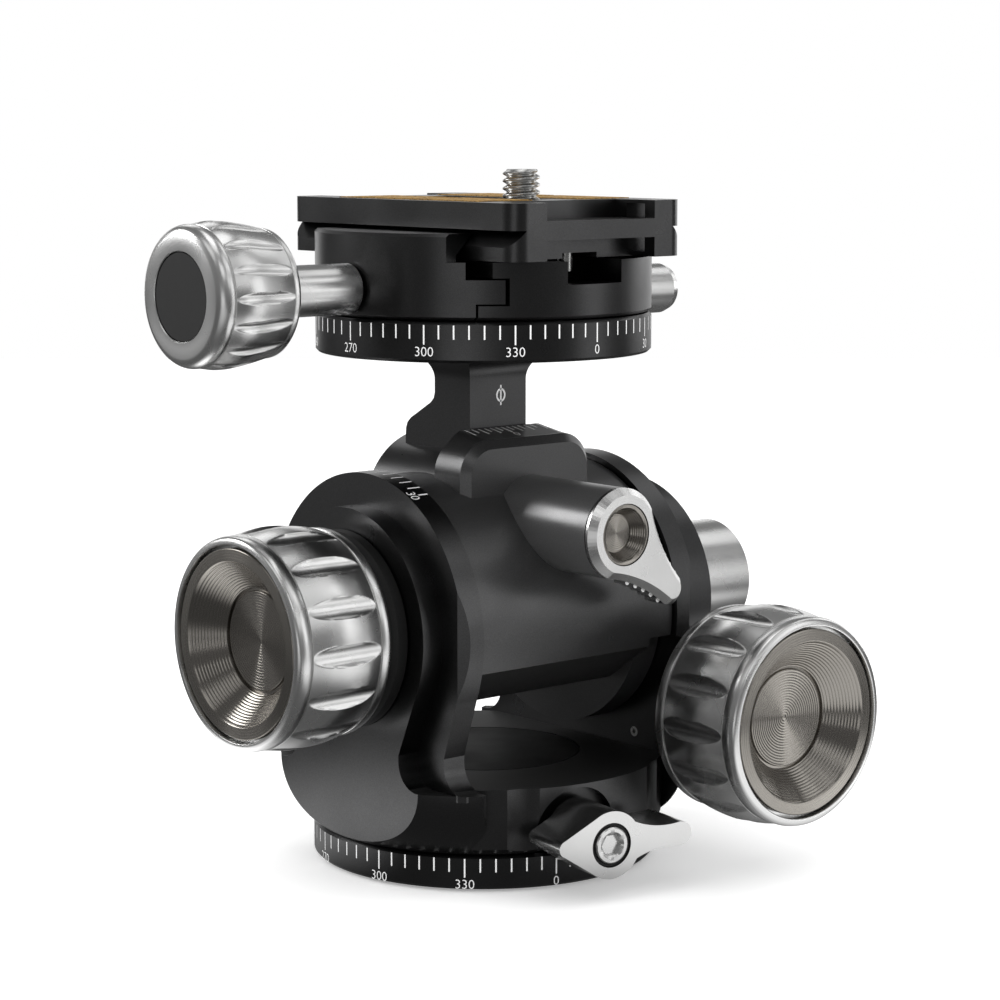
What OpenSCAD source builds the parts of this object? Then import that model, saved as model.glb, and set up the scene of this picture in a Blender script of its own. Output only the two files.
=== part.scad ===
// Geared tripod head with two worm drives, a panning base and a panning dovetail clamp.
// Origin: middle of the base disc's underside. +Z up, -Y to the front lever, -X to the clamp knob.

/* [Base] */
// radius of the base disc
base_r = 30; // [27:0.5:33]
// height of the base disc
base_h = 5.8; // [4.5:0.1:8]
// wall radius of the tripod thread
thread_r = 4.7625; // [3.1:0.0125:4.8]

/* [Yoke] */
// height of the floor between the arms
floor_z = 17.3; // [17:0.1:20]
// height of the tilt axis
tilt_z = 42.5; // [42:0.1:48]
// radius of the round arm heads
arm_r = 26; // [24:0.5:30]
// inner face of each arm, from the middle
arm_in = 22; // [21:0.5:26]
// thickness of the arm heads
arm_t = 4.4; // [3:0.1:7]
// thickness of the raised pad on each arm
pad_t = 3.9; // [3:0.1:7]
// radius of the raised pad
pad_r = 20.5; // [18:0.5:22]
// largest radius of the bowl under the arms
bowl_r = 35.7; // [34.5:0.1:38]
// radius of the front and back wall of the yoke
front_r = 31.3; // [30.8:0.1:33]

/* [Tilting drum] */
// radius of the drum
drum_r = 25; // [22:0.5:28]
// height of the roll axis above the tilt axis
roll_up = 17; // [17:0.1:17]
// half width of the saddle
saddle_w = 14.5; // [13.8:0.1:16]
// radius of the lock tube
tube_r = 7.7; // [6:0.1:9]
// front end of the lock tube
tube_end = 34.4; // [31:0.1:36]

/* [Worm drives] */
// tooth module
gear_m = 0.8; // [0.8:0.1:0.8]
// teeth of the tilt wheel
tilt_teeth = 32; // [32:1:32]
// teeth of the full roll wheel
roll_teeth = 36; // [36:1:36]
// pitch radius of both worms
worm_r = 2.6; // [2.6:0.1:2.6]
// distance of the tilt worm from the middle
worm_x = 26; // [26:0.1:26.5]

/* [Drive knobs] */
// largest radius of a drive knob
knob_r = 18.6; // [16:0.1:20]
// length of a drive knob
knob_l = 19.3; // [18:0.1:22]
// radius of the dished insert
dish_r = 15.3; // [13:0.1:15.5]
// number of grip flutes
flutes = 15; // [10:1:20]

/* [Post and top disc] */
// width of the post
post_w = 12.7; // [11:0.1:15]
// radius of the rolling barrel under the post
barrel_r = 13; // [12:0.1:13.2]
// underside of the top disc
disc_z = 87.9; // [86:0.1:92]
// thickness of the top disc
disc_h = 6.7; // [5:0.1:9]
// radius of the top disc and clamp
disc_r = 29; // [28:0.5:32]

/* [Clamp and plate] */
// height of the clamp floor above its underside
clamp_h = 9.4; // [9:0.1:12]
// half width of the plate
plate_w = 19; // [18:0.5:20]
// length of the plate
plate_l = 60; // [50:1:80]
// thickness of the plate
plate_h = 9.4; // [9:0.1:12]
// radius of the camera screw
screw_r = 3.175; // [3.1:0.005:3.2]

/* [Clearances] */
// gap between faces that pass each other
gap = 0.3; // [0.2:0.05:0.5]
// radial running clearance of a shaft
run = 0.05; // [0.02:0.01:0.1]
// small edge chamfer
edge = 0.5; // [0.2:0.1:1]

/* [Hidden] */
$fn = 72;
eps = 0.5;
tuck = 0.03;

// base stack
bush_r = 8;
spindle_r = 11;
spindle_z = 2.5;
spindle_top = 12;
cap_r = 15;
cap_t = 2.6;
foot_in = 17;
foot_out = 27.5;
foot_t = 1;
cap_screw_r = 1.1;
cap_screw_at = (bush_r + spindle_r) / 2;
yoke_z = base_h + gap;
lip_z = spindle_top - gap;
cover_t = 2;
cover_r = 17;

// yoke
bowl_h = floor_z - yoke_z;
bowl_rise = bowl_r - base_r;
bowl_arc = (bowl_rise * bowl_rise + bowl_h * bowl_h) / (2 * bowl_rise);
bowl_c = bowl_r - bowl_arc;
arm_out = arm_in + arm_t;
pad_x = arm_out + pad_t;
stem_w = 20.9;
stem_z = 23;
neck_w = 13.8;
foot_fillet = 4.6;
scoop_x = 19;
scoop_y = 35.5;
scoop_r = 9.5;
journal_r = 12;
trunnion_r = 7;
collar_r = 16.8;
collar_x = pad_x + gap;
collar_l = 2.9;
journal_x = collar_x + collar_l;

// gears
tilt_wheel_r = gear_m * tilt_teeth / 2;
roll_wheel_r = gear_m * roll_teeth / 2;
tooth_up = 0.6;
tooth_down = 1;
worm_tip = worm_r + tooth_up;
worm_root = worm_r - 0.8;
shaft_r = 1.7;
pitch = PI * gear_m;
worm_turns = 5;
worm_l = pitch * worm_turns;
worm_steps = 14;
wheel_t = 2.6;
bush_bore = shaft_r + run;
tilt_worm_z = tilt_z - tilt_wheel_r - worm_r;
roll_z = tilt_z + roll_up;
worm_bore = worm_tip + gap;
wheel_bore = tilt_wheel_r + tooth_up + gap + 0.1;

// drum
drum_x = arm_in - gap;
flange_x = 16.7;
flange_r = 22.2;
belly_z = tilt_z - 12.4;
belly_w = 14.2;
crease_z = tilt_z - 5.5;
saddle_front = 12.3;
saddle_edge = 1.4;
saddle_back = 4.2;
saddle_top = 73.6;
saddle_low = tilt_z + 8;
saddle_corner = 6;
pin_r = 4;
rear_boss_r = 8;
rear_boss_y = 22;
barrel_front = saddle_back - gap;
barrel_back = 16.8;
pocket_back = barrel_back + gap;
sector_half = 62;
sector_in = 8.5;
trunnion_x = 36.3;

// knobs
tilt_knob_y = 34.2;
boss_r = 12;
boss_y = tilt_knob_y - 0.4;
worm_blind = 15;
roll_knob_x = journal_x + 0.7;
dish_t = 7;
dish_floor = knob_l - dish_t;
dish_in = knob_l - 5.1;
dish_eye_r = 8.9;
dish_step = 0.4;
hub_shaft = 10;

// levers
lever_turn = 10;
lever_z = 9.2;
lever_seat = 28.5;
lever_seat_r = 7.6;
lever_hub_r = 5.7;
lever_neck = lever_seat + gap;
lever_neck_r = 3;
lever_hub = base_r + gap;
lever_wing = max(base_r + 1.3, front_r) + 0.6;
lever_face = lever_wing + 9.7;
lever_left = [-8.7, 0.5];
lever_left_r = 1.4;
lever_right = [13.9, 0.2];
lever_right_r = 1.95;
lever_waist_r = 16;
lever_ring_r = 3.75;
lever_ring_t = 1.6;
lever_socket_r = 2.1;
stud_r = 2;
brake_end = 20;
front_lever_y0 = tube_end + gap;
front_lever_t = 1.6;
front_lever_r = tube_r;
front_bevel = 1.1;
front_boss_r = 6;
front_boss_l = 3.4;
front_grip_l = 2.8;
front_dish_r = 5.2;
front_dish_t = 3;
waist_r = 28;
waist_sag = 0.9;
rib_r = 0.45;
ribs = 5;
rib_pitch = 2;
rib_shift = 1.9;
front_tip = [11, -10.2];
front_tip_r = 2.8;
cover_x = 37;
hub_x = 41.7;
side_lever_x = hub_x + gap;
side_lever_t = 13.9;
side_lever_r = 10.4;
side_tip = [4, -19];
side_tip_r = 3.6;
lock_stud_r = 3;

// post
post_front = barrel_front;
post_back = 5.6;
flare = 5.2;
bolt_r = 3;
dowel_r = 1.2;
dowel_x = 4.7;

// clamp
disc_top = disc_z + disc_h;
clamp_z = disc_top + gap;
clamp_floor = clamp_z + clamp_h;
clamp_axis = clamp_floor - 4.8;
shoulder_r = 6;
shoulder_h = 3.6;
head_r = 8.5;
head_t = 1.7;
bolt_down = 8;
bolt_key_r = 2.5;
jaw_top = clamp_floor + 4.6;
split_x = plate_w + 0.4;
ledge_x = split_x - 1.8;
groove_x = plate_w + 1.9;
lip_y = 0.61 * disc_r;
tongue_x = 15.9;
tongue_half = 1.95;
notch_x = tongue_x - 0.6;
channel_w = 6;
channel_h = 3.8;
jaw_pin_r = 1.5;
jaw_pin_y = 13;
jaw_pin_x = 24;
clamp_screw_r = 2.5;
clamp_neck_r = 4.25;
clamp_knob_x = 46.6;
clamp_knob_l = 16.3;
clamp_flutes = 16;
clamp_grip = 10;
clamp_knob_r = 11.9;
clamp_cap_r = 7;
pan_knob_z = clamp_z + 2;
pan_knob_r = 4.5;
pan_knob_x = disc_r + 0.4;
pan_knob_end = 43.8;
pan_stud_r = 1.5;

// plate
plate_z = clamp_floor + gap;
plate_top = plate_z + plate_h;
lip_h = 2.3;
slope = 2.7;
plate_corner = 3;
pocket_w = 12;
pocket_l = 9.7;
under_l = 5.4;
web_low = 3.3;
web_high = 6.4;
slot_half = 14;
screw_y = -9.9;
screw_head_r = 6.4;
screw_head_t = 3;
screw_low = plate_z + 0.9;
screw_neck_r = 2.6;
screw_slit = 1.6;
screw_slit_d = 1.3;
screw_out = 5;
screw_top = plate_top + screw_out;
skin_t = 0.6;
skin_out = 0.15;
screw_thread_z = plate_top + skin_out + gap;
skin_w = 12;
skin_l = 17.6;
skin_x = 11;
skin_y = 9.6;
stop_r = 1.25;
stop_y = plate_l / 2 - 9;
stop_low = clamp_floor - 2;
stop_in = 3;
stop_gate_w = 3.85;
stop_gate_h = 0.9;

// round bar along X between x0 and x1
module xbar(x0, x1, r, y = 0, z = tilt_z) {
  translate([x0, y, z]) rotate([0, 90, 0]) cylinder(r = r, h = x1 - x0);
}

// round bar along Y between y0 and y1
module ybar(y0, y1, r, x = 0, z = roll_z) {
  translate([x, y1, z]) rotate([90, 0, 0]) cylinder(r = r, h = y1 - y0);
}

// flat outline in Y and Z carried along X from x0 to x1
module xslab(x0, x1) {
  translate([x0, 0, 0]) rotate([90, 0, 90]) linear_extrude(height = x1 - x0) children();
}

// flat outline in X and Z carried along Y from y0 to y1
module yslab(y0, y1) {
  translate([0, y1, 0]) rotate([90, 0, 0]) linear_extrude(height = y1 - y0) children();
}

// turned body on the Z axis with chamfered rims
module turned(r, z0, z1, c) {
  rotate_extrude() polygon([[0, z0], [r - c, z0], [r, z0 + c], [r, z1 - c], [r - c, z1], [0, z1]]);
}

// turned body on the tilt axis with a chamfered outer rim at x1
module xturned(r, x0, x1, c) {
  translate([x0, 0, tilt_z]) rotate([0, 90, 0])
    rotate_extrude() polygon([[0, 0], [r, 0], [r, x1 - x0 - c], [r - c, x1 - x0], [0, x1 - x0]]);
}

// outline of two circles joined by their outer tangents, the first at the origin
module link2d(r0, at, r1) {
  d = norm(at);
  a = atan2(at[1], at[0]);
  b = acos((r0 - r1) / d);
  circle(r = r0);
  translate(at) circle(r = r1);
  q0 = r0 - tuck;
  q1 = r1 - tuck;
  polygon([
    [q0 * cos(a + b), q0 * sin(a + b)],
    [q0 * cos(a - b), q0 * sin(a - b)],
    [at[0] + q1 * cos(a - b), at[1] + q1 * sin(a - b)],
    [at[0] + q1 * cos(a + b), at[1] + q1 * sin(a + b)]
  ]);
}

// one corner of a tooth: radius and share of the pitch angle
function tooth_at(n, k, r, share) =
  let (a = -90 + (k + 0.5 + share) * 360 / n) [r * cos(a), r * sin(a)];

// outline of a wheel with a tooth gap straight down
module wheel2d(n, r) {
  polygon([for (k = [0 : n - 1]) each [
    tooth_at(n, k, r - tooth_down, -0.27), tooth_at(n, k, r + tooth_up, -0.11),
    tooth_at(n, k, r + tooth_up, 0.11), tooth_at(n, k, r - tooth_down, 0.27)
  ]]);
}

// radius of the worm thread at a share of a turn from the thread's middle
function thread_at(f) =
  let (a = min(f, 1 - f)) worm_tip - (worm_tip - worm_root) * min(max((a - 0.11) / 0.15, 0), 1);

// single-start worm along Z, its middle at the origin
module worm_thread(start) {
  shares = [0, 0.06, 0.11, 0.16, 0.21, 0.26, 0.34, 0.42, 0.5, 0.58, 0.66, 0.74, 0.79, 0.84, 0.89, 0.94];
  translate([0, 0, -worm_l / 2])
    linear_extrude(height = worm_l, twist = -360 * worm_turns, slices = worm_steps * worm_turns, $fn = 8)
      polygon([for (f = shares) [thread_at(f) * cos(start + 360 * f), thread_at(f) * sin(start + 360 * f)]]);
}

// grip knob along Z with its back at the origin
module knob_body(turn) {
  difference() {
    rotate_extrude() polygon([
      [0, 0], [knob_r - 2.3, 0], [knob_r - 1.5, 0.4], [knob_r - 1.15, 1], [knob_r - 1.15, 2.2],
      [knob_r - 1.3, 2.4], [knob_r - 1.15, 2.7], [knob_r - 0.4, 5.6], [knob_r, 9],
      [knob_r - 0.3, knob_l - 6.9], [knob_r - 0.9, knob_l - 4.1], [knob_r - 1.25, knob_l - 3.8],
      [knob_r - 1.25, knob_l - 3.3],
      [knob_r - 0.85, knob_l - 3], [knob_r - 0.8, knob_l - 2.1], [knob_r - 1.1, knob_l - 1],
      [knob_r - 1.7, knob_l - 0.3], [knob_r - 2.6, knob_l], [0, knob_l]
    ]);
    translate([0, 0, dish_floor]) cylinder(r = dish_r, h = dish_t + 1);
    translate([0, 0, -1]) cylinder(r = shaft_r, h = hub_shaft + 1);
    for (i = [0 : flutes - 1])
      rotate([0, 0, turn + i * 360 / flutes])
        translate([knob_r + 1.1, 0, 2.4]) cylinder(r = 2.2, h = knob_l - 6.3);
  }
}

// dished insert along Z, seated in the knob body
module knob_insert() {
  rotate_extrude() polygon([
    [0, dish_floor], [dish_r, dish_floor], [dish_r, knob_l - 0.5], [dish_r - 0.2, knob_l - 0.3],
    [dish_r - 2.3, knob_l - 0.3], [dish_eye_r, dish_in], [dish_eye_r, dish_in - dish_step],
    [dish_eye_r - dish_step, dish_in - dish_step], [dish_eye_r - dish_step - 0.1, dish_in],
    [dish_eye_r / 3, dish_in + 0.3], [0, dish_in + 0.4]
  ]);
}

module base_disc() {
  color("#2b2b2d") difference() {
    turned(base_r, 0, base_h, edge);
    translate([0, 0, -1]) cylinder(r = bush_r, h = base_h + 2);
    translate([0, 0, spindle_z]) cylinder(r = spindle_r, h = base_h);
    translate([0, 0, -1]) difference() {
      cylinder(r = foot_out, h = 1 + foot_t);
      cylinder(r = foot_in, h = 1 + foot_t);
    }
  }
}

module base_pad() {
  color("#1a1a1a") difference() {
    cylinder(r = foot_out, h = foot_t);
    translate([0, 0, -1]) cylinder(r = foot_in, h = foot_t + 2);
  }
}

module tripod_bush() {
  color("#b8b6b0") difference() {
    cylinder(r = bush_r, h = spindle_top);
    translate([0, 0, -1]) cylinder(r = thread_r, h = spindle_top + 2);
  }
}

module cap_screw_places(i) {
  rotate([0, 0, 30 + i * 120]) translate([cap_screw_at, 0, 0]) children();
}

module pan_spindle() {
  color("#8a8a8c") difference() {
    translate([0, 0, spindle_z]) cylinder(r = spindle_r, h = spindle_top - spindle_z);
    cylinder(r = bush_r, h = spindle_top + 1);
    for (i = [0 : 2])
      cap_screw_places(i) translate([0, 0, spindle_top - 4]) cylinder(r = cap_screw_r, h = 5);
  }
}

module pan_cap() {
  color("#6f7072") difference() {
    translate([0, 0, spindle_top]) cylinder(r = cap_r, h = cap_t);
    for (i = [0 : 2]) cap_screw_places(i) {
      cylinder(r = cap_screw_r, h = 30);
      translate([0, 0, spindle_top + cap_t - 1.4]) cylinder(r = 2, h = 3);
    }
  }
}

module cap_screw(i) {
  color("#9a9a98") cap_screw_places(i) {
    translate([0, 0, spindle_top - 4]) cylinder(r = cap_screw_r, h = cap_t + 3);
    translate([0, 0, spindle_top + cap_t - 1.4]) difference() {
      cylinder(r = 2, h = 1.4);
      translate([0, 0, 0.6]) cylinder(r = 1, h = 1, $fn = 6);
    }
  }
}

module cap_screw_1() { cap_screw(0); }
module cap_screw_2() { cap_screw(1); }
module cap_screw_3() { cap_screw(2); }

// bowl that grows from the base disc to the arms, with a flat on each side
module bowl() {
  intersection() {
    rotate_extrude() union() {
      translate([0, yoke_z]) square([bowl_c, bowl_h]);
      intersection() {
        translate([bowl_c, floor_z]) circle(r = bowl_arc, $fn = 120);
        translate([0, yoke_z]) square([bowl_r + 5, bowl_h]);
      }
    }
    union() {
      cylinder(r = front_r, h = floor_z);
      for (s = [-1, 1])
        translate([s * (arm_in + 20), 0, floor_z / 2]) cube([40, 100, floor_z + 10], center = true);
    }
    cube([2 * pad_x, 100, 100], center = true);
    difference() {
      cylinder(r = bowl_r + 5, h = floor_z);
      for (x = [-1, 1], y = [-1, 1])
        translate([x * scoop_x, y * scoop_y, 0]) cylinder(r = scoop_r, h = floor_z + 1);
    }
  }
}

// outline of an arm in Y and Z
module arm2d() {
  translate([0, tilt_z]) circle(r = arm_r);
  polygon([
    [-stem_w, floor_z - 1], [stem_w, floor_z - 1], [stem_w, stem_z], [arm_r * 0.97, tilt_z - arm_r * 0.243],
    [-arm_r * 0.97, tilt_z - arm_r * 0.243], [-stem_w, stem_z]
  ]);
  foot_fillets(stem_w);
}

// outline of the raised pad in Y and Z
module pad2d() {
  translate([0, tilt_z]) circle(r = pad_r);
  polygon([
    [-neck_w, floor_z - 3], [neck_w, floor_z - 3], [neck_w, stem_z], [pad_r * 0.92, tilt_z - pad_r * 0.39],
    [-pad_r * 0.92, tilt_z - pad_r * 0.39], [-neck_w, stem_z]
  ]);
  foot_fillets(neck_w);
}

// fillets that spread a stem of half width w onto the floor
module foot_fillets(w) {
  for (s = [-1, 1])
    difference() {
      translate([s > 0 ? w - 1 : -w - foot_fillet, floor_z - 1]) square([foot_fillet + 1, foot_fillet + 1]);
      translate([s * (w + foot_fillet), floor_z + foot_fillet]) circle(r = foot_fillet);
    }
}

// frame of the pan lever: its axis is local Z and leaves the base outwards
module lever_frame() {
  rotate([0, 0, -lever_turn]) translate([0, 0, lever_z]) rotate([90, 0, 0]) children();
}

// housing of the tilt worm on the right arm
module worm_house() {
  difference() {
    union() {
      ybar(-boss_y, worm_blind + 2, worm_tip + 3.2, worm_x, tilt_worm_z);
      ybar(-boss_y, -pad_r - gap, boss_r, worm_x, tilt_worm_z);
    }
    translate([pad_x, -pad_r - gap, 0]) cube([40, 120, 100]);
    translate([0, -60, 0]) cube([arm_in, 120, 100]);
  }
}

module yoke() {
  color("#242426") difference() {
    union() {
      bowl();
      intersection() {
        union() {
          xslab(-arm_out, -arm_in) arm2d();
          xslab(arm_in, arm_out) arm2d();
        }
        cylinder(r = bowl_r + 0.3, h = 100);
      }
      xslab(-pad_x, -arm_out + eps) pad2d();
      xslab(arm_out - eps, pad_x) pad2d();
      worm_house();
    }
    translate([0, 0, 1]) cylinder(r = base_r - 2, h = yoke_z - 1);
    cylinder(r = spindle_r + run, h = floor_z);
    translate([0, 0, lip_z]) cylinder(r = cap_r + gap, h = floor_z);
    translate([0, 0, floor_z - cover_t]) cylinder(r = cover_r, h = 5);
    xbar(-pad_x - 1, -arm_in + 1, journal_r + run);
    xbar(arm_in - 1, pad_x + 1, wheel_bore);
    ybar(-boss_y - 1, worm_blind, worm_bore, worm_x, tilt_worm_z);
    lever_frame() translate([0, 0, 5]) cylinder(r = stud_r + run, h = 50);
    lever_frame() translate([0, 0, lever_seat]) cylinder(r = lever_seat_r, h = 20);
    translate([arm_in - 1, -15.3, floor_z + 2.4]) rotate([0, 90, 0]) cylinder(r = 0.9, h = 4);
  }
}

module floor_cover() {
  color("#2c2c2e") translate([0, 0, floor_z - cover_t]) cylinder(r = cover_r, h = cover_t);
}

module pan_brake() {
  color("#b08d4a") intersection() {
    lever_frame() translate([0, 0, spindle_r - 2]) cylinder(r = stud_r, h = brake_end - spindle_r + 2);
    difference() {
      cylinder(r = 40, h = 40);
      cylinder(r = spindle_r + run, h = 40);
    }
  }
}

module gear_cover() {
  color("#242426") difference() {
    union() {
      xturned(pad_r, pad_x, cover_x, 1.2);
      xturned(9, cover_x - eps, hub_x, 0.6);
    }
    xbar(pad_x - 1, trunnion_x + gap, trunnion_r + run);
    xbar(pad_x, hub_x + 1, lock_stud_r + run);
  }
}

module tilt_bush(y0, y1) {
  color("#b08d4a") difference() {
    ybar(y0, y1, worm_bore, worm_x, tilt_worm_z);
    ybar(y0 - 1, y1 + 1, bush_bore, worm_x, tilt_worm_z);
  }
}

module tilt_bush_front() { tilt_bush(-boss_y, -boss_y + 8); }
module tilt_bush_rear() { tilt_bush(worm_blind - 5.5, worm_blind); }

module arm_screw() {
  color("#c8c8c8") translate([arm_in, -15.3, floor_z + 2.4]) rotate([0, 90, 0]) difference() {
    cylinder(r = 0.9, h = 3);
    translate([0, 0, -1]) cylinder(r = 0.45, h = 1.8, $fn = 6);
  }
}

// outline of the pan lever's wings, the right one waisted
module wings2d() {
  link2d(lever_hub_r, lever_left, lever_left_r);
  difference() {
    link2d(lever_hub_r, lever_right, lever_right_r);
    for (s = [-1, 1])
      translate([lever_right[0] - 2.9, lever_right[1] + s * (lever_waist_r + lever_right_r - 0.1)])
        circle(r = lever_waist_r);
  }
}

module pan_lever() {
  color("#cfcfcd") lever_frame() difference() {
    union() {
      translate([0, 0, lever_wing]) linear_extrude(height = lever_face - lever_wing) wings2d();
      translate([0, 0, lever_hub]) cylinder(r = lever_hub_r, h = lever_face - lever_hub);
      translate([0, 0, lever_neck]) cylinder(r = lever_neck_r, h = lever_wing - lever_neck);
    }
    cylinder(r = stud_r, h = 50);
    translate([0, 0, lever_face - lever_ring_t]) cylinder(r = lever_ring_r, h = 3);
  }
}

module pan_lever_screw() {
  color("#d6d6d4") lever_frame() difference() {
    union() {
      translate([0, 0, brake_end + gap]) cylinder(r = stud_r, h = lever_face - brake_end - gap);
      translate([0, 0, lever_face - lever_ring_t]) cylinder(r = lever_ring_r - gap, h = lever_ring_t + 0.2);
    }
    translate([0, 0, lever_face - 0.9]) cylinder(r = lever_socket_r, h = 3, $fn = 6);
  }
}

// outline of the drum's cut-away belly in Y and Z
module belly2d() {
  crease_w = sqrt(drum_r * drum_r - 30.25);
  polygon([
    [-drum_r - 5, crease_z], [-crease_w, crease_z], [-belly_w, belly_z], [belly_w, belly_z],
    [crease_w, crease_z], [drum_r + 5, crease_z], [drum_r + 5, 0], [-drum_r - 5, 0]
  ]);
}

// saddle block with rounded top corners and a chamfered front
module saddle_block() {
  w = saddle_w - saddle_corner;
  for (side = [-1, 1])
    translate([side * w, 0, saddle_top - saddle_corner]) rotate([90, 0, 0]) rotate_extrude() polygon([
      [0, saddle_back], [saddle_corner, saddle_back], [saddle_corner, saddle_front - saddle_edge],
      [saddle_corner - saddle_edge, saddle_front], [0, saddle_front]
    ]);
  xslab(-w, w) polygon([
    [-saddle_front, saddle_low], [-saddle_front, saddle_top - saddle_edge],
    [-saddle_front + saddle_edge, saddle_top], [-saddle_back, saddle_top], [-saddle_back, saddle_low]
  ]);
  translate([0, 0, saddle_low]) linear_extrude(height = saddle_top - saddle_corner - saddle_low) polygon([
    [-saddle_w, -saddle_back], [-saddle_w, -saddle_front + saddle_edge],
    [-saddle_w + saddle_edge, -saddle_front], [saddle_w - saddle_edge, -saddle_front],
    [saddle_w, -saddle_front + saddle_edge], [saddle_w, -saddle_back]
  ]);
}

module drum() {
  color("#2a2a2c") difference() {
    union() {
      difference() {
        xbar(-drum_x, drum_x, drum_r);
        xslab(-drum_x - 1, flange_x) belly2d();
        difference() {
          xbar(flange_x, drum_x + 1, drum_r + 1);
          xbar(flange_x - 1, drum_x + 2, flange_r);
          translate([0, 0, tilt_z + 46]) cube([100, 100, 100], center = true);
        }
      }
      xbar(-journal_x, -drum_x, journal_r);
      xbar(drum_x, trunnion_x, trunnion_r);
      ybar(saddle_back, rear_boss_y, rear_boss_r);
    }
    ybar(-saddle_back, pocket_back, barrel_r + gap);
    translate([-barrel_r - gap, -saddle_back, roll_z])
      cube([2 * (barrel_r + gap), pocket_back + saddle_back, 40]);
    ybar(-wheel_t / 2 - 0.4, wheel_t / 2 + 0.4, roll_wheel_r + tooth_up + 0.4);
    xbar(-journal_x - 1, 15, worm_bore);
    ybar(-tube_end, rear_boss_y - 1, pin_r);
  }
}

module saddle() {
  color("#2a2a2c") difference() {
    saddle_block();
    xbar(-drum_x, drum_x, drum_r);
    ybar(-saddle_front - 1, 0, pin_r);
  }
}

module lock_tube() {
  color("#2a2a2c") difference() {
    ybar(-tube_end, -saddle_front, tube_r);
    ybar(-tube_end - 1, 0, pin_r);
    ybar(-tube_end - 1, -front_lever_y0 + front_boss_l + gap, front_boss_r + run);
    xbar(-drum_x, drum_x, drum_r);
  }
}

module roll_pin() {
  color("#a8a8a6") ybar(-saddle_front - 4, rear_boss_y - 1, pin_r);
}

module tilt_wheel() {
  color("#b08d4a") difference() {
    union() {
      xslab(worm_x - wheel_t / 2, worm_x + wheel_t / 2)
        translate([0, tilt_z]) wheel2d(tilt_teeth, tilt_wheel_r);
      xbar(drum_x, worm_x, 9.6);
    }
    xbar(0, 60, trunnion_r);
  }
}

module journal_collar() {
  color("#151516") difference() {
    translate([-collar_x, 0, tilt_z]) rotate([0, -90, 0]) rotate_extrude() polygon([
      [0, 0], [collar_r, 0], [collar_r, collar_l - 1], [collar_r - 1, collar_l], [0, collar_l]
    ]);
    xbar(-journal_x - 1, 0, journal_r);
  }
}

module roll_bush(x0, x1) {
  color("#b08d4a") difference() {
    xbar(x0, x1, worm_bore);
    xbar(x0 - 1, x1 + 1, bush_bore);
  }
}

module roll_bush_left() { roll_bush(-journal_x, -journal_x + 9); }
module roll_bush_right() { roll_bush(9, 15); }

// frames of the drive knobs: local Z leaves the head
module tilt_knob_frame() {
  translate([worm_x, -tilt_knob_y, tilt_worm_z]) rotate([90, 0, 0]) children();
}

module roll_knob_frame() {
  translate([-roll_knob_x, 0, tilt_z]) rotate([0, -90, 0]) children();
}

module tilt_knob() {
  color("#d2d2d0") tilt_knob_frame() knob_body(13.5);
}

module tilt_knob_dish() {
  color("#8d8577") tilt_knob_frame() knob_insert();
}

module tilt_worm() {
  color("#9c9c9a") {
    translate([worm_x, 0, tilt_worm_z]) rotate([90, 0, 0]) worm_thread(-90);
    ybar(-tilt_knob_y - hub_shaft, worm_blind - gap, shaft_r, worm_x, tilt_worm_z);
  }
}

module roll_knob() {
  color("#d2d2d0") roll_knob_frame() knob_body(5.25);
}

module roll_knob_dish() {
  color("#8d8577") roll_knob_frame() knob_insert();
}

module roll_worm() {
  color("#9c9c9a") {
    translate([0, 0, tilt_z]) rotate([0, 90, 0]) worm_thread(0);
    xbar(-roll_knob_x - hub_shaft, 15 - gap, shaft_r);
  }
}

module side_lever() {
  color("#c4c4c2") difference() {
    xslab(side_lever_x, side_lever_x + side_lever_t)
      translate([0, tilt_z]) link2d(side_lever_r, side_tip, side_tip_r);
    xslab(side_lever_x - 1, side_lever_x + 7) translate([0, tilt_z])
      difference() {
        translate([-30, -60]) square([60, 60 - side_lever_r]);
        circle(r = side_lever_r + 0.4);
      }
    xbar(side_lever_x - 1, side_lever_x + 6, lock_stud_r);
    translate([side_lever_x + side_lever_t, 0, tilt_z]) rotate([0, 90, 0]) sphere(r = 5);
  }
}

module side_lever_stud() {
  color("#9c9c9a") xbar(trunnion_x + 2 * gap, side_lever_x + 6, lock_stud_r);
}

// angle of the flank's outward normal on one side of the front lever
function flank_turn(side) =
  atan2(front_tip[1], front_tip[0]) + side * acos((front_lever_r - front_tip_r) / norm(front_tip));

// frame of a flank: its origin at the middle of the waist's circle, +X outwards
module flank_frame(side) {
  r = (front_lever_r + front_tip_r) / 2 + waist_r - waist_sag;
  translate([front_tip[0] / 2 + r * cos(flank_turn(side)), front_tip[1] / 2 + r * sin(flank_turn(side)), 0])
    rotate([0, 0, flank_turn(side)]) children();
}

// bevelled plate of the front lever before its flanks are waisted
module front_plate() {
  hull() {
    cylinder(r = front_lever_r, h = front_lever_t - front_bevel);
    cylinder(r = front_lever_r - front_bevel, h = front_lever_t);
    translate(front_tip) cylinder(r = front_tip_r, h = front_lever_t - front_bevel);
    translate(front_tip) cylinder(r = front_tip_r - front_bevel, h = front_lever_t);
  }
}

// ribbed grip behind the plate, clear of the lock tube
module front_grip() {
  translate([0, 0, -front_grip_l]) difference() {
    union() {
      difference() {
        linear_extrude(height = front_grip_l + eps) link2d(front_lever_r, front_tip, front_tip_r);
        for (side = [-1, 1]) flank_frame(side) cylinder(r = waist_r, h = 20, center = true, $fn = 144);
      }
      for (side = [-1, 1], i = [0 : ribs - 1])
        flank_frame(side)
          rotate([0, 0, 180 + side * ((i - (ribs - 1) / 2) * rib_pitch + rib_shift) / waist_r * 180 / PI])
            translate([waist_r, 0, 0]) cylinder(r = rib_r, h = front_grip_l, $fn = 24);
    }
    translate([0, 0, -1]) cylinder(r = tube_r + gap, h = front_grip_l + 1);
  }
}

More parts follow.
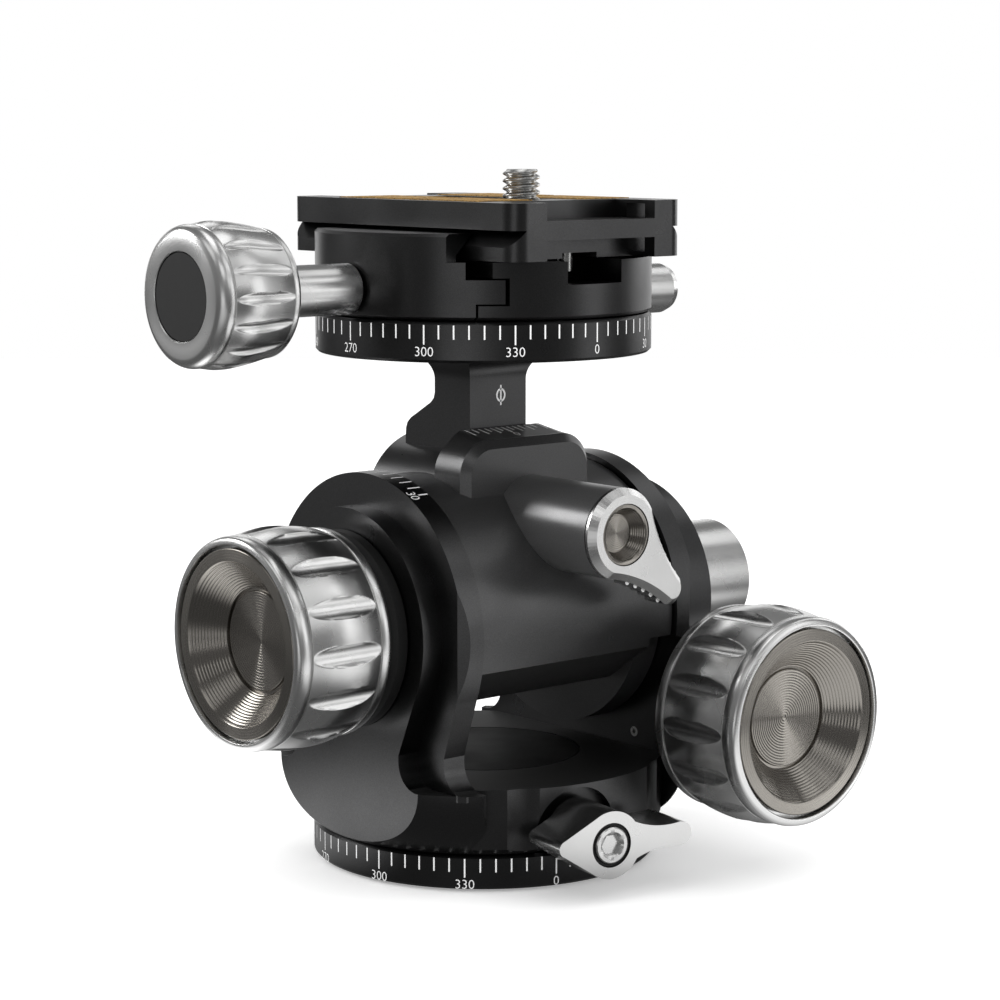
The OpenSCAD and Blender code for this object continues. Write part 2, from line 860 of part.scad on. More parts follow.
module front_lever() {
  color("#d6d6d4") translate([0, -front_lever_y0, roll_z]) rotate([90, 0, 0]) difference() {
    union() {
      difference() {
        front_plate();
        for (side = [-1, 1]) flank_frame(side) rotate_extrude($fn = 144) polygon([
          [0, -1], [waist_r, -1], [waist_r, front_lever_t - front_bevel],
          [waist_r + front_bevel + 1, front_lever_t + 1], [0, front_lever_t + 1]
        ]);
      }
      front_grip();
      translate([0, 0, -front_boss_l]) cylinder(r = front_boss_r, h = front_boss_l + eps);
    }
    translate([0, 0, front_lever_t - front_dish_t]) cylinder(r = front_dish_r, h = front_dish_t + 1);
    translate([0, 0, -front_boss_l - 1]) cylinder(r = pin_r - run, h = front_boss_l + 2);
  }
}

module front_lever_dish() {
  color("#b9b2a4") translate([0, -front_lever_y0 - front_lever_t + front_dish_t, roll_z]) rotate([90, 0, 0])
    rotate_extrude() polygon([
      [0, 0], [front_dish_r, 0], [front_dish_r, front_dish_t - 0.2], [front_dish_r - 0.6, front_dish_t - 0.2],
      [3.3, 0.8], [3.2, 0.6], [0, 0.8]
    ]);
}

module front_lever_stud() {
  color("#9c9c9a") ybar(-front_lever_y0 - front_lever_t + front_dish_t, -saddle_front - 4 - gap, pin_r - run);
}

// outline of the post in X and Z
module post_front2d() {
  w = post_w / 2;
  translate([-w, roll_z + 6]) square([post_w, disc_z - roll_z - 6]);
  for (s = [-1, 1])
    difference() {
      translate([s > 0 ? w - 1 : -w - flare, disc_z - flare]) square([flare + 1, flare]);
      translate([s * (w + flare), disc_z - flare]) circle(r = flare);
    }
}

// outline of the post in Y and Z, with a foot that spreads backwards
module post_side2d() {
  polygon([
    [-post_front, roll_z], [-post_front, disc_z], [post_back, disc_z], [post_back, 80.4], [5.9, 79.4],
    [6.7, 78.6], [9.5, 77], [12.2, 75.5], [13.2, 74.6], [13.6, 73.6], [13.7, 72], [13.7, roll_z]
  ]);
  difference() {
    translate([post_back - 1, disc_z - flare]) square([flare + 1, flare]);
    translate([post_back + flare, disc_z - flare]) circle(r = flare);
  }
  difference() {
    translate([-post_front - flare, disc_z - flare]) square([flare + 1, flare]);
    translate([-post_front - flare, disc_z - flare]) circle(r = flare);
  }
}

// wedge that holds the toothed sector, pointing down
module sector2d(r) {
  intersection() {
    circle(r = r);
    polygon([[0, 0], [-40 * sin(sector_half), -40 * cos(sector_half)], [0, -80],
      [40 * sin(sector_half), -40 * cos(sector_half)]]);
  }
}

module post() {
  color("#2e2e30") difference() {
    union() {
      intersection() {
        yslab(-20, 30) post_front2d();
        xslab(-20, 20) post_side2d();
      }
      ybar(-barrel_front, barrel_back, barrel_r);
    }
    ybar(-20, 30, pin_r + run);
    yslab(-wheel_t / 2, wheel_t / 2) translate([0, roll_z]) difference() {
      sector2d(barrel_r + 2);
      circle(r = sector_in);
    }
    translate([0, 0, disc_z - 8]) cylinder(r = bolt_r, h = 20);
    for (s = [-1, 1]) translate([s * dowel_x, 0.8, disc_z - 3]) cylinder(r = dowel_r, h = 10);
  }
}

module roll_wheel() {
  color("#b08d4a") yslab(-wheel_t / 2, wheel_t / 2) translate([0, roll_z]) difference() {
    intersection() {
      wheel2d(roll_teeth, roll_wheel_r);
      sector2d(roll_wheel_r + 5);
    }
    circle(r = sector_in);
  }
}

module top_disc() {
  color("#2b2b2d") difference() {
    turned(disc_r, disc_z, disc_top, edge);
    translate([0, 0, disc_z - 1]) cylinder(r = bolt_r, h = 20);
    for (s = [-1, 1]) translate([s * dowel_x, 0.8, disc_z - 1]) cylinder(r = dowel_r, h = 4);
  }
}

module clamp_bolt() {
  color("#8a8a8c") difference() {
    union() {
      translate([0, 0, disc_z - bolt_down]) cylinder(r = bolt_r, h = disc_h + bolt_down + 1);
      translate([0, 0, disc_top]) cylinder(r = shoulder_r, h = shoulder_h);
      translate([0, 0, disc_top + shoulder_h]) cylinder(r = head_r, h = head_t);
    }
    translate([0, 0, disc_top + shoulder_h]) cylinder(r = bolt_key_r, h = 3, $fn = 6);
  }
}

module post_dowel(s) {
  color("#9c9c9a") translate([s * dowel_x, 0.8, disc_z - 3]) cylinder(r = dowel_r, h = 6);
}

module post_dowel_1() { post_dowel(-1); }
module post_dowel_2() { post_dowel(1); }

module clamp_body() {
  color("#262628") difference() {
    intersection() {
      yslab(-40, 40) polygon([
        [-split_x, clamp_z], [disc_r, clamp_z], [disc_r, jaw_top], [split_x - 2, jaw_top],
        [groove_x, jaw_top - groove_x + split_x - 2], [groove_x, clamp_floor], [-ledge_x, clamp_floor],
        [-ledge_x, clamp_axis + tongue_half + gap], [-notch_x, clamp_axis + tongue_half + gap],
        [-notch_x, clamp_axis - tongue_half - gap], [-split_x, clamp_axis - tongue_half - gap]
      ]);
      turned(disc_r, clamp_z, jaw_top, edge);
    }
    translate([-channel_w, -40, clamp_floor - channel_h]) cube([2 * channel_w, 80, 20]);
    translate([0, 0, clamp_z - 1]) cylinder(r = shoulder_r + run, h = 20);
    translate([0, 0, disc_top + shoulder_h - gap]) cylinder(r = head_r + gap, h = 20);
    xbar(-30, -head_r, clamp_screw_r + run, 0, clamp_axis);
    for (s = [-1, 1]) xbar(-30, -3, jaw_pin_r + run, s * jaw_pin_y, clamp_axis);
    xbar(shoulder_r, disc_r + 1, pan_stud_r + run, 0, pan_knob_z);
  }
}

module pan_lock_knob() {
  color("#cfcfcd") {
    translate([pan_knob_x, 0, pan_knob_z]) rotate([0, 90, 0]) rotate_extrude() polygon([
      [0, 0], [pan_knob_r - 0.4, 0], [pan_knob_r, 0.4], [pan_knob_r, pan_knob_end - pan_knob_x - 2.2],
      [pan_knob_r - 0.5, pan_knob_end - pan_knob_x - 0.8], [pan_knob_r - 1.6, pan_knob_end - pan_knob_x],
      [0, pan_knob_end - pan_knob_x]
    ]);
    xbar(head_r + 1, pan_knob_x + 1, pan_stud_r, 0, pan_knob_z);
  }
}

module clamp_jaw() {
  color("#262628") difference() {
    intersection() {
      yslab(-40, 40) polygon([
        [-disc_r, clamp_z], [-split_x - gap, clamp_z], [-split_x - gap, clamp_axis - tongue_half],
        [-tongue_x, clamp_axis - tongue_half], [-tongue_x, clamp_axis + tongue_half],
        [-groove_x, clamp_axis + tongue_half], [-groove_x, jaw_top - groove_x + split_x - 2],
        [-split_x + 2, jaw_top], [-disc_r, jaw_top]
      ]);
      turned(disc_r, clamp_z, jaw_top, edge);
    }
    for (s = [-1, 1]) translate([-40, s > 0 ? lip_y : -lip_y - 20, clamp_floor]) cube([40, 20, 20]);
    xbar(-40, 0, clamp_screw_r + run, 0, clamp_axis);
    for (s = [-1, 1]) xbar(-jaw_pin_x, 0, jaw_pin_r, s * jaw_pin_y, clamp_axis);
  }
}

module jaw_pin(s) {
  color("#a8a8a6") xbar(-jaw_pin_x, -8, jaw_pin_r, s * jaw_pin_y, clamp_axis);
}

module jaw_pin_1() { jaw_pin(-1); }
module jaw_pin_2() { jaw_pin(1); }

module clamp_knob_frame() {
  translate([-clamp_knob_x, 0, clamp_axis]) rotate([0, -90, 0]) children();
}

module clamp_knob() {
  color("#d6d6d4") clamp_knob_frame() difference() {
    union() {
      rotate_extrude() polygon([
        [0, 0], [9.9, 0], [10.4, 0.5], [10.5, 1], [11.3, 4], [clamp_knob_r - 0.1, 7.4], [clamp_knob_r, 9],
        [clamp_knob_r - 0.2, 10.6], [11.3, 11.4], [11.3, 11.7], [11.6, 12], [11.6, 12.8], [11.2, 14.4],
        [10.3, 15.6], [9.4, clamp_knob_l - 0.2], [8.9, clamp_knob_l], [0, clamp_knob_l]
      ]);
      translate([0, 0, disc_r + gap - clamp_knob_x])
        cylinder(r = clamp_neck_r, h = clamp_knob_x - disc_r - gap + 1);
    }
    translate([0, 0, clamp_knob_l - 1]) cylinder(r = clamp_cap_r, h = 3);
    translate([0, 0, -40]) cylinder(r = clamp_screw_r, h = 40 + clamp_grip);
    for (i = [0 : clamp_flutes - 1])
      rotate([0, 0, i * 360 / clamp_flutes])
        translate([clamp_knob_r + 0.6, 0, 0.6]) cylinder(r = 1.6, h = 10.6);
  }
}

module clamp_knob_cap() {
  color("#1c1c1d") clamp_knob_frame() translate([0, 0, clamp_knob_l - 1]) cylinder(r = clamp_cap_r, h = 0.9);
}

module clamp_screw() {
  color("#9c9c9a") xbar(-clamp_knob_x - clamp_grip, -head_r - 2, clamp_screw_r, 0, clamp_axis);
}

// outline of the plate in X and Z
module plate2d() {
  polygon([
    [-plate_w, plate_z], [plate_w, plate_z], [plate_w, plate_z + lip_h],
    [plate_w - slope, plate_z + lip_h + slope], [plate_w, plate_z + lip_h + slope],
    [plate_w, plate_top], [-plate_w, plate_top], [-plate_w, plate_z + lip_h + slope],
    [-plate_w + slope, plate_z + lip_h + slope], [-plate_w, plate_z + lip_h]
  ]);
}

// upright outline of the plate with rounded corners
module plate_outline() {
  for (x = [-1, 1], y = [-1, 1])
    translate([x * (plate_w - plate_corner), y * (plate_l / 2 - plate_corner)]) circle(r = plate_corner);
  square([2 * plate_w, plate_l - 2 * plate_corner], center = true);
  square([2 * (plate_w - plate_corner), plate_l], center = true);
}

module plate() {
  color("#232325") difference() {
    intersection() {
      yslab(-plate_l, plate_l) plate2d();
      translate([0, 0, plate_z - 1]) linear_extrude(height = plate_h + 2) plate_outline();
    }
    for (s = [-1, 1]) {
      translate([-pocket_w, s > 0 ? plate_l / 2 - pocket_l : -plate_l / 2 - 10, plate_z + web_high])
        cube([2 * pocket_w, pocket_l + 10, 20]);
      translate([-pocket_w, s > 0 ? plate_l / 2 - under_l : -plate_l / 2 - 10, plate_z - 10 + web_low])
        cube([2 * pocket_w, under_l + 10, 10]);
      translate([pocket_w - 1, s * (plate_l / 2 - 4.6) - 2.2, plate_z + web_high]) cube([20, 4.4, 2.4]);
      translate([pocket_w - 1, s * (plate_l / 2 - 4.6) - 2.2, plate_z + 0.8]) cube([20, 4.4, web_low - 0.8]);
    }
    for (x = [-1, 1], y = [-1, 1]) pad_place(x, y) cube([skin_w, skin_l, skin_t], center = true);
    translate([-screw_r - gap, -slot_half, plate_z - 1]) cube([2 * (screw_r + gap), 2 * slot_half, 30]);
    translate([0, -stop_y, plate_z - 1]) cylinder(r = stop_r, h = stop_in + 1);
    translate([-stop_gate_w, -plate_l / 2, plate_z - 1])
      cube([2 * stop_gate_w, plate_l / 2 - slot_half, 1 + stop_gate_h]);
    translate([-screw_head_r - gap, -slot_half - 3.5, plate_z - 1])
      cube([2 * (screw_head_r + gap), 2 * slot_half + 7, 1 + screw_head_t + 1.4]);
  }
}

// middle of a top pad, sunk into the plate
module pad_place(sx, sy) {
  translate([sx * skin_x, sy * skin_y, plate_top + skin_out - skin_t / 2]) children();
}

// soft top pads, one in each corner field
module plate_pad(sx, sy) {
  color("#a9834b") pad_place(sx, sy) cube([skin_w, skin_l, skin_t], center = true);
}

module plate_pad_1() { plate_pad(-1, -1); }
module plate_pad_2() { plate_pad(1, -1); }
module plate_pad_3() { plate_pad(-1, 1); }
module plate_pad_4() { plate_pad(1, 1); }

module stop_pin() {
  color("#c8c8c8") translate([0, -stop_y, stop_low]) cylinder(r = stop_r, h = plate_z + stop_in - stop_low);
}

module camera_screw() {
  color("#c0bfbc") translate([0, screw_y, 0]) difference() {
    union() {
      translate([0, 0, screw_low]) cylinder(r = screw_head_r, h = screw_head_t);
      translate([0, 0, screw_low]) cylinder(r = screw_neck_r, h = screw_top - screw_low - 1);
      translate([0, 0, screw_thread_z]) cylinder(r = screw_r, h = screw_top - screw_thread_z);
    }
    translate([-screw_head_r - 1, -screw_slit / 2, screw_low - 1])
      cube([2 * screw_head_r + 2, screw_slit, screw_slit_d + 1]);
  }
}

base_disc();
base_pad();
tripod_bush();
pan_spindle();
pan_cap();
cap_screw_1();
cap_screw_2();
cap_screw_3();
yoke();
floor_cover();
pan_brake();
gear_cover();
tilt_bush_front();
tilt_bush_rear();
arm_screw();
pan_lever();
pan_lever_screw();
drum();
saddle();
lock_tube();
roll_pin();
tilt_wheel();
journal_collar();
roll_bush_left();
roll_bush_right();
tilt_knob();
tilt_knob_dish();
tilt_worm();
roll_knob();
roll_knob_dish();
roll_worm();
side_lever();
side_lever_stud();
front_lever();
front_lever_dish();
front_lever_stud();
post();
roll_wheel();
top_disc();
clamp_bolt();
post_dowel_1();
post_dowel_2();
clamp_body();
pan_lock_knob();
clamp_jaw();
jaw_pin_1();
jaw_pin_2();
clamp_knob();
clamp_knob_cap();
clamp_screw();
plate();
plate_pad_1();
plate_pad_2();
plate_pad_3();
plate_pad_4();
stop_pin();
camera_screw();
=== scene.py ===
"""Dressed geared tripod head: finishes, printed scales and the finer pieces over the solids."""
import logging
import math
from dataclasses import dataclass, field, replace
from enum import Enum
from typing import Callable, Optional, Union

import bmesh
import bpy
from bpy.types import ID, Material, Node, NodeSocket, NodeTree, Object
from mathutils import Matrix, Vector


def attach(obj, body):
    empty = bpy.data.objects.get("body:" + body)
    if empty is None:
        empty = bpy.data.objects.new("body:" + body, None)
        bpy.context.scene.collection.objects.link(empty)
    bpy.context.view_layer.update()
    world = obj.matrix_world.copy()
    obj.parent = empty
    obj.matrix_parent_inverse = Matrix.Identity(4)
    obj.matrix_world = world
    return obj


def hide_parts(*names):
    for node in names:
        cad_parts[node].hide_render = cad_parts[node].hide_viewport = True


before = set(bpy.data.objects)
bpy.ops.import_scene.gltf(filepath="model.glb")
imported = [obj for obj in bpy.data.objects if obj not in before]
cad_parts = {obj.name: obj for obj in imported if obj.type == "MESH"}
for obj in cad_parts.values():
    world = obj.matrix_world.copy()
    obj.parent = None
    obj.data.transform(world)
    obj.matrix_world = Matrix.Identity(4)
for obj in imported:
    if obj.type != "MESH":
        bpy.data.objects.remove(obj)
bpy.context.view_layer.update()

log = logging.getLogger("tripod_head")

MM = 0.001
TINY = 1e-6
# Heights of the tilt and roll axes and distance of the drive knobs' backs, in millimetres.
TILT_Z = 42.5
ROLL_Z = 59.5
KNOB_OUT = 34.2
# Bends that stay sharp on plain and on grooved pieces, and corners round small pieces.
SHARP_DEG = 32.0
GROOVED_DEG = 50.0
SMALL_STEPS = 96
# Part of the noise that a finish uses, and fineness of the change in its roughness.
NOISE_SPAN = (0.3, 0.7)
CLOUD_SCALE = 90.0
# Degrees on the two part scales, and frame of the left arm's rim in millimetres.
ARC_DEG = range(-30, 31, 5)
ARM = Matrix(((0, 0, 1, -22.0), (0, -1, 0, 0), (1, 0, 0, TILT_Z), (0, 0, 0, 1)))
# One turned groove: place along its pitch and part of its depth.
GROOVE = ((0.0, 0.0), (0.45, 0.0), (0.6, 1.0), (0.85, 1.0))
WHITE = (1.0, 1.0, 1.0, 1.0)

Point2 = tuple[float, float]
Triple = tuple[float, float, float]
Profile = list[Point2]
Cell = tuple[int, ...]
Mark = tuple[list[Point2], list[Cell]]
RadiusRule = Callable[[float, float, float], float]
Wrap = Callable[[float, float], Vector]
Source = Union[float, NodeSocket]
Setting = Union[float, tuple[float, ...]]
Wire = tuple[Node, str, Node, Union[str, int]]


class Facing(Enum):
    """The way a turned piece's axis leaves the head, as the turn in degrees from up and its axis."""

    LEFT = (-90.0, "Y")
    FRONT = (90.0, "X")
    UP = (0.0, "Z")


class Slot(Enum):
    """Material slots of the record, named with each new piece."""

    BLACK = "black_anodised"
    TRIM = "black_trim"
    SILVER = "silver_anodised"
    DISH = "bronze_dish"
    STEEL = "steel"


def placed(facing: Facing, x: float, y: float, z: float, turn: float = 0.0) -> Matrix:
    """Frame of a turned piece whose axis is local Z.

    Args:
        facing: the way the axis points.
        x: place of the frame's origin along X, in millimetres.
        y: the same along Y.
        z: the same along Z.
        turn: extra turn about the upright axis, in degrees.

    Returns:
        The matrix from the piece's own frame to the row frame, in metres.
    """
    degrees, axis = facing.value
    tilt = Matrix.Rotation(math.radians(degrees), 4, axis)
    spin = Matrix.Rotation(math.radians(turn), 4, "Z")
    return spin @ Matrix.Translation(Vector((x, y, z)) * MM) @ tilt


def shown(name: str, data: ID) -> Object:
    """Adds an object to the scene.

    Args:
        name: its name.
        data: its mesh, lettering, camera or lamp.

    Returns:
        The new object.
    """
    obj = bpy.data.objects.new(name, data)
    bpy.context.scene.collection.objects.link(obj)
    return obj


def preset(node: Node, inputs: dict[str, Setting]) -> Node:
    """Sets some inputs of a node.

    Args:
        node: the node.
        inputs: value of each input by its name.

    Returns:
        The same node.
    """
    for name, value in inputs.items():
        node.inputs[name].default_value = value
    return node


def wired(tree: NodeTree, *wires: Wire) -> None:
    """Links nodes.

    Args:
        tree: nodes of a material or of the world.
        wires: a node, its output, the next node and its input for each link.
    """
    for source, out, target, into in wires:
        tree.links.new(source.outputs[out], target.inputs[into])


def figured(tree: NodeTree, operation: str, first: Source, second: Source) -> NodeSocket:
    """Adds one arithmetic node.

    Args:
        tree: nodes of a material or of the world.
        operation: name of the arithmetic.
        first: number or socket in the first place.
        second: the same in the second place.

    Returns:
        The socket with the result.
    """
    node = tree.nodes.new("ShaderNodeMath")
    node.operation = operation
    for port, source in zip(node.inputs, (first, second)):
        if isinstance(source, NodeSocket):
            tree.links.new(source, port)
        else:
            port.default_value = source
    return node.outputs["Value"]


@dataclass(frozen=True)
class Finish:
    """A procedural surface with fine grain in its colour, roughness and bump."""

    name: str
    color: Triple
    metallic: float = 0.0
    roughness: float = 0.4
    specular: float = 0.5
    grain_mm: float = 0.1
    grain_bump: float = 0.2
    grain_depth_mm: float = 0.01
    color_vary: float = 0.12
    rough_vary: float = 0.05
    anisotropic: float = 0.0
    grain_turn: float = 0.0
    # Faces that look up below floor_mm take a near-black matte colour: painted shade on a floor under
    # other parts.
    radial_axis: Optional[str] = None
    floor_mm: float = 0.0
    floor_level: float = 0.9
    floor_shade_color: Triple = (0.007, 0.007, 0.007)
    floor_rough: float = 0.6

    def _painted_shade_floor(self, mat: Material, bsdf: Node, coords: Node) -> None:
        """Makes the faces that look up below a height dark and matte; the dark colour is painted shade
        on a floor that lies under other parts.

        Args:
            mat: the material.
            bsdf: its main shader, with colour and roughness linked.
            coords: its texture coordinates.
        """
        tree = mat.node_tree
        nodes, links = tree.nodes, tree.links
        looks, place = nodes.new("ShaderNodeSeparateXYZ"), nodes.new("ShaderNodeSeparateXYZ")
        wired(tree, (nodes.new("ShaderNodeNewGeometry"), "True Normal", looks, "Vector"),
              (coords, "Object", place, "Vector"))
        is_low = figured(tree, "LESS_THAN", place.outputs["Z"], self.floor_mm * MM)
        is_up = figured(tree, "GREATER_THAN", looks.outputs["Z"], self.floor_level)
        is_shaded_floor = figured(tree, "MULTIPLY", is_low, is_up)
        links.new(figured(tree, "SUBTRACT", self.metallic, is_shaded_floor), bsdf.inputs["Metallic"])
        for socket, kind, value in (("Base Color", "RGBA", (*self.floor_shade_color, 1.0)),
                                    ("Roughness", "FLOAT", self.floor_rough)):
            blend = nodes.new("ShaderNodeMix")
            blend.data_type = kind
            ports = [port for port in blend.inputs if port.enabled]
            links.new(is_shaded_floor, ports[0])
            links.new(bsdf.inputs[socket].links[0].from_socket, ports[1])
            ports[2].default_value = value
            links.new(next(port for port in blend.outputs if port.enabled), bsdf.inputs[socket])

    def build(self) -> Material:
        """Makes the material once and hands out the same one after that.

        Returns:
            The material.
        """
        known = bpy.data.materials.get(self.name)
        if known:
            return known
        mat = bpy.data.materials.new(self.name)
        mat.use_nodes = True
        tree, nodes = mat.node_tree, mat.node_tree.nodes
        bsdf = preset(nodes["Principled BSDF"], {
            "Metallic": self.metallic, "Specular IOR Level": self.specular,
            "Anisotropic": self.anisotropic, "Anisotropic Rotation": self.grain_turn,
        })
        coords = nodes.new("ShaderNodeTexCoord")
        fine = 1.0 / (self.grain_mm * MM)
        grain = preset(nodes.new("ShaderNodeTexNoise"), {"Scale": fine, "Detail": 2.0})
        cloud = preset(nodes.new("ShaderNodeTexNoise"), {"Scale": CLOUD_SCALE, "Detail": 3.0})
        tone = nodes.new("ShaderNodeValToRGB")
        dark = [c * (1.0 - self.color_vary) for c in self.color]
        pale = [min(c * (1.0 + self.color_vary), 1.0) for c in self.color]
        for stop, at, shade in zip(tone.color_ramp.elements, NOISE_SPAN, (dark, pale)):
            stop.position = at
            stop.color = (*shade, 1.0)
        rough = preset(nodes.new("ShaderNodeMapRange"), {
            "From Min": NOISE_SPAN[0], "To Min": self.roughness - self.rough_vary,
            "From Max": NOISE_SPAN[1], "To Max": self.roughness + self.rough_vary,
        })
        bump = preset(nodes.new("ShaderNodeBump"), {
            "Strength": self.grain_bump, "Distance": self.grain_depth_mm * MM,
        })
        wired(tree, (coords, "Object", grain, "Vector"), (coords, "Object", cloud, "Vector"),
              (grain, "Fac", tone, "Fac"), (tone, "Color", bsdf, "Base Color"),
              (cloud, "Fac", rough, "Value"), (rough, "Result", bsdf, "Roughness"),
              (grain, "Fac", bump, "Height"), (bump, "Normal", bsdf, "Normal"))
        if self.radial_axis:
            tangent = nodes.new("ShaderNodeTangent")
            tangent.direction_type = "RADIAL"
            tangent.axis = self.radial_axis
            wired(tree, (tangent, "Tangent", bsdf, "Tangent"))
        if self.floor_mm:
            self._painted_shade_floor(mat, bsdf, coords)
        return mat


BLACK = Finish("satin_black", (0.078, 0.078, 0.079), metallic=1.0, roughness=0.31, grain_mm=0.14,
               grain_bump=0.25, grain_depth_mm=0.008, color_vary=0.15, rough_vary=0.04)
TRIM = Finish("matte_black", (0.007, 0.007, 0.007), roughness=0.45, specular=0.3, grain_mm=0.2,
              color_vary=0.2)
CAP = Finish("cap_black", (0.018, 0.018, 0.018), roughness=0.5, specular=0.3, grain_mm=0.16,
             grain_bump=0.3, grain_depth_mm=0.012, color_vary=0.25)
COVER = replace(TRIM, name="matte_cover", roughness=0.6, specular=0.1)
# Drum, saddle and lock tube take paler, part-diffuse copies of the black anodising: painted sheen
# standing in for light they reflect.
DRUM_PAINTED_SHEEN = replace(BLACK, name="black_drum_painted_sheen", color=(0.085, 0.085, 0.086), metallic=0.75)
TUBE_PAINTED_SHEEN = replace(BLACK, name="black_tube_painted_sheen", color=(0.155, 0.155, 0.156), metallic=0.7)
# The yoke's floor below 20 mm gets painted shade: its up-facing faces turn near-black and matte.
YOKE = replace(BLACK, name="satin_black_yoke", color=(0.088, 0.088, 0.089), floor_mm=20.0)
SILVER = Finish("satin_silver", (0.80, 0.80, 0.795), metallic=1.0, roughness=0.27,
                grain_depth_mm=0.007, color_vary=0.03, rough_vary=0.03)
DISH_X = Finish("turned_dish_side", (0.33, 0.312, 0.285), metallic=1.0, roughness=0.22,
                grain_bump=0.1, grain_depth_mm=0.004, color_vary=0.05, rough_vary=0.03, anisotropic=0.9,
                grain_turn=0.25, radial_axis="X")
DISH_Y = replace(DISH_X, name="turned_dish_front", radial_axis="Y")
STEEL = Finish("turned_steel", (0.60, 0.60, 0.59), metallic=1.0, roughness=0.26,
               grain_bump=0.1, grain_depth_mm=0.004, color_vary=0.06, rough_vary=0.04)
BRASS = Finish("cut_brass", (0.66, 0.5, 0.24), metallic=1.0, roughness=0.3, grain_mm=0.15,
               grain_bump=0.15, grain_depth_mm=0.006, color_vary=0.08)
RUBBER = Finish("foot_rubber_matte", (0.02, 0.02, 0.02), roughness=0.8, specular=0.3, grain_mm=0.3,
                grain_bump=0.4, grain_depth_mm=0.03, color_vary=0.25)
PAD = Finish("grip_pad", (0.30, 0.18, 0.055), roughness=0.85, specular=0.2, grain_mm=0.5,
             grain_bump=0.8, grain_depth_mm=0.06, color_vary=0.75)
INK = Finish("scale_ink", (0.82, 0.82, 0.82), roughness=0.5, specular=0.3,
             grain_bump=0.1, grain_depth_mm=0.003, color_vary=0.03)


@dataclass
class Workshop:
    """Makes meshes in the row frame, dresses them and hangs them on their bodies."""

    made: list[str] = field(default_factory=list)
    bevel_segments: int = 2
    bevel_deg: float = 40.0
    flat_weight: int = 60

    def mesh_object(self, name: str, verts: list[Vector], faces: list[Cell],
                    sharp_deg: float = SHARP_DEG) -> Object:
        """Links a new smooth-shaded mesh object.

        Args:
            name: name of the piece.
            verts: corners in the row frame, in metres.
            faces: corner numbers of each face.
            sharp_deg: edges that bend more than this stay sharp.

        Returns:
            The new object.
        """
        mesh = bpy.data.meshes.new(name)
        mesh.from_pydata(verts, [], faces)
        work = bmesh.new()
        work.from_mesh(mesh)
        bmesh.ops.recalc_face_normals(work, faces=work.faces)
        work.to_mesh(mesh)
        work.free()
        for poly in mesh.polygons:
            poly.use_smooth = True
        mesh.set_sharp_from_angle(angle=math.radians(sharp_deg))
        return shown(name, mesh)

    def lathe(self, name: str, profile: Profile, place: Matrix, segments: int = 160,
              rule: Optional[RadiusRule] = None, sharp_deg: float = SHARP_DEG) -> Object:
        """Turns an outline about the frame's local Z axis.

        Args:
            name: name of the piece.
            profile: radius and height pairs in millimetres.
            place: frame of the piece.
            segments: corners round the axis.
            rule: changes the radius for an angle, a radius and a height.
            sharp_deg: edges that bend more than this stay sharp.

        Returns:
            The new object.
        """
        verts: list[Vector] = []
        rings: list[list[int]] = []
        for radius, height in profile:
            start = len(verts)
            if radius < TINY:
                verts.append(place @ Vector((0.0, 0.0, height * MM)))
                rings.append([start])
                continue
            for k in range(segments):
                a = 2.0 * math.pi * k / segments
                r = rule(a, radius, height) if rule else radius
                verts.append(place @ Vector((r * math.cos(a) * MM, r * math.sin(a) * MM, height * MM)))
            rings.append(list(range(start, start + segments)))
        faces: list[Cell] = []
        for low, high in zip(rings, rings[1:]):
            for k in range(segments):
                n = (k + 1) % segments
                if len(low) == 1 and len(high) > 1:
                    faces.append((low[0], high[k], high[n]))
                elif len(high) == 1 and len(low) > 1:
                    faces.append((low[k], low[n], high[0]))
                elif len(low) > 1:
                    faces.append((low[k], low[n], high[n], high[k]))
        return self.mesh_object(name, verts, faces, sharp_deg)

    def dress(self, obj: Object, finish: Finish, body: str, slot: Slot,
              *replaced: str) -> None:
        """Gives a new piece its finish and body and hides the nodes it stands for.

        Args:
            obj: the piece.
            finish: its surface.
            body: the body it rides on.
            slot: the record's slot; not used.
            replaced: nodes that the piece stands for.
        """
        obj.data.materials.clear()
        obj.data.materials.append(finish.build())
        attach(obj, body)
        if replaced:
            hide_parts(*replaced)
        self.made.append(obj.name)
        log.info("piece %s rides on %s", obj.name, body)

    def paint(self, node: str, finish: Finish, bevel: float = 0.0) -> None:
        """Gives a solid that stays its finish and, where asked, rounded edges.

        Args:
            node: name of the solid.
            finish: its surface.
            bevel: width of the rounded edges in millimetres.
        """
        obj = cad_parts[node]
        obj.data.materials.clear()
        obj.data.materials.append(finish.build())
        for poly in obj.data.polygons:
            poly.material_index = 0
        if bevel > 0:
            mod = obj.modifiers.new("rounded_edges", "BEVEL")
            mod.width = bevel * MM
            mod.segments = self.bevel_segments
            mod.limit_method = "ANGLE"
            mod.angle_limit = math.radians(self.bevel_deg)
            flat = obj.modifiers.new("flat_faces", "WEIGHTED_NORMAL")
            flat.keep_sharp = True
            flat.weight = self.flat_weight
        log.info("solid %s finished", node)


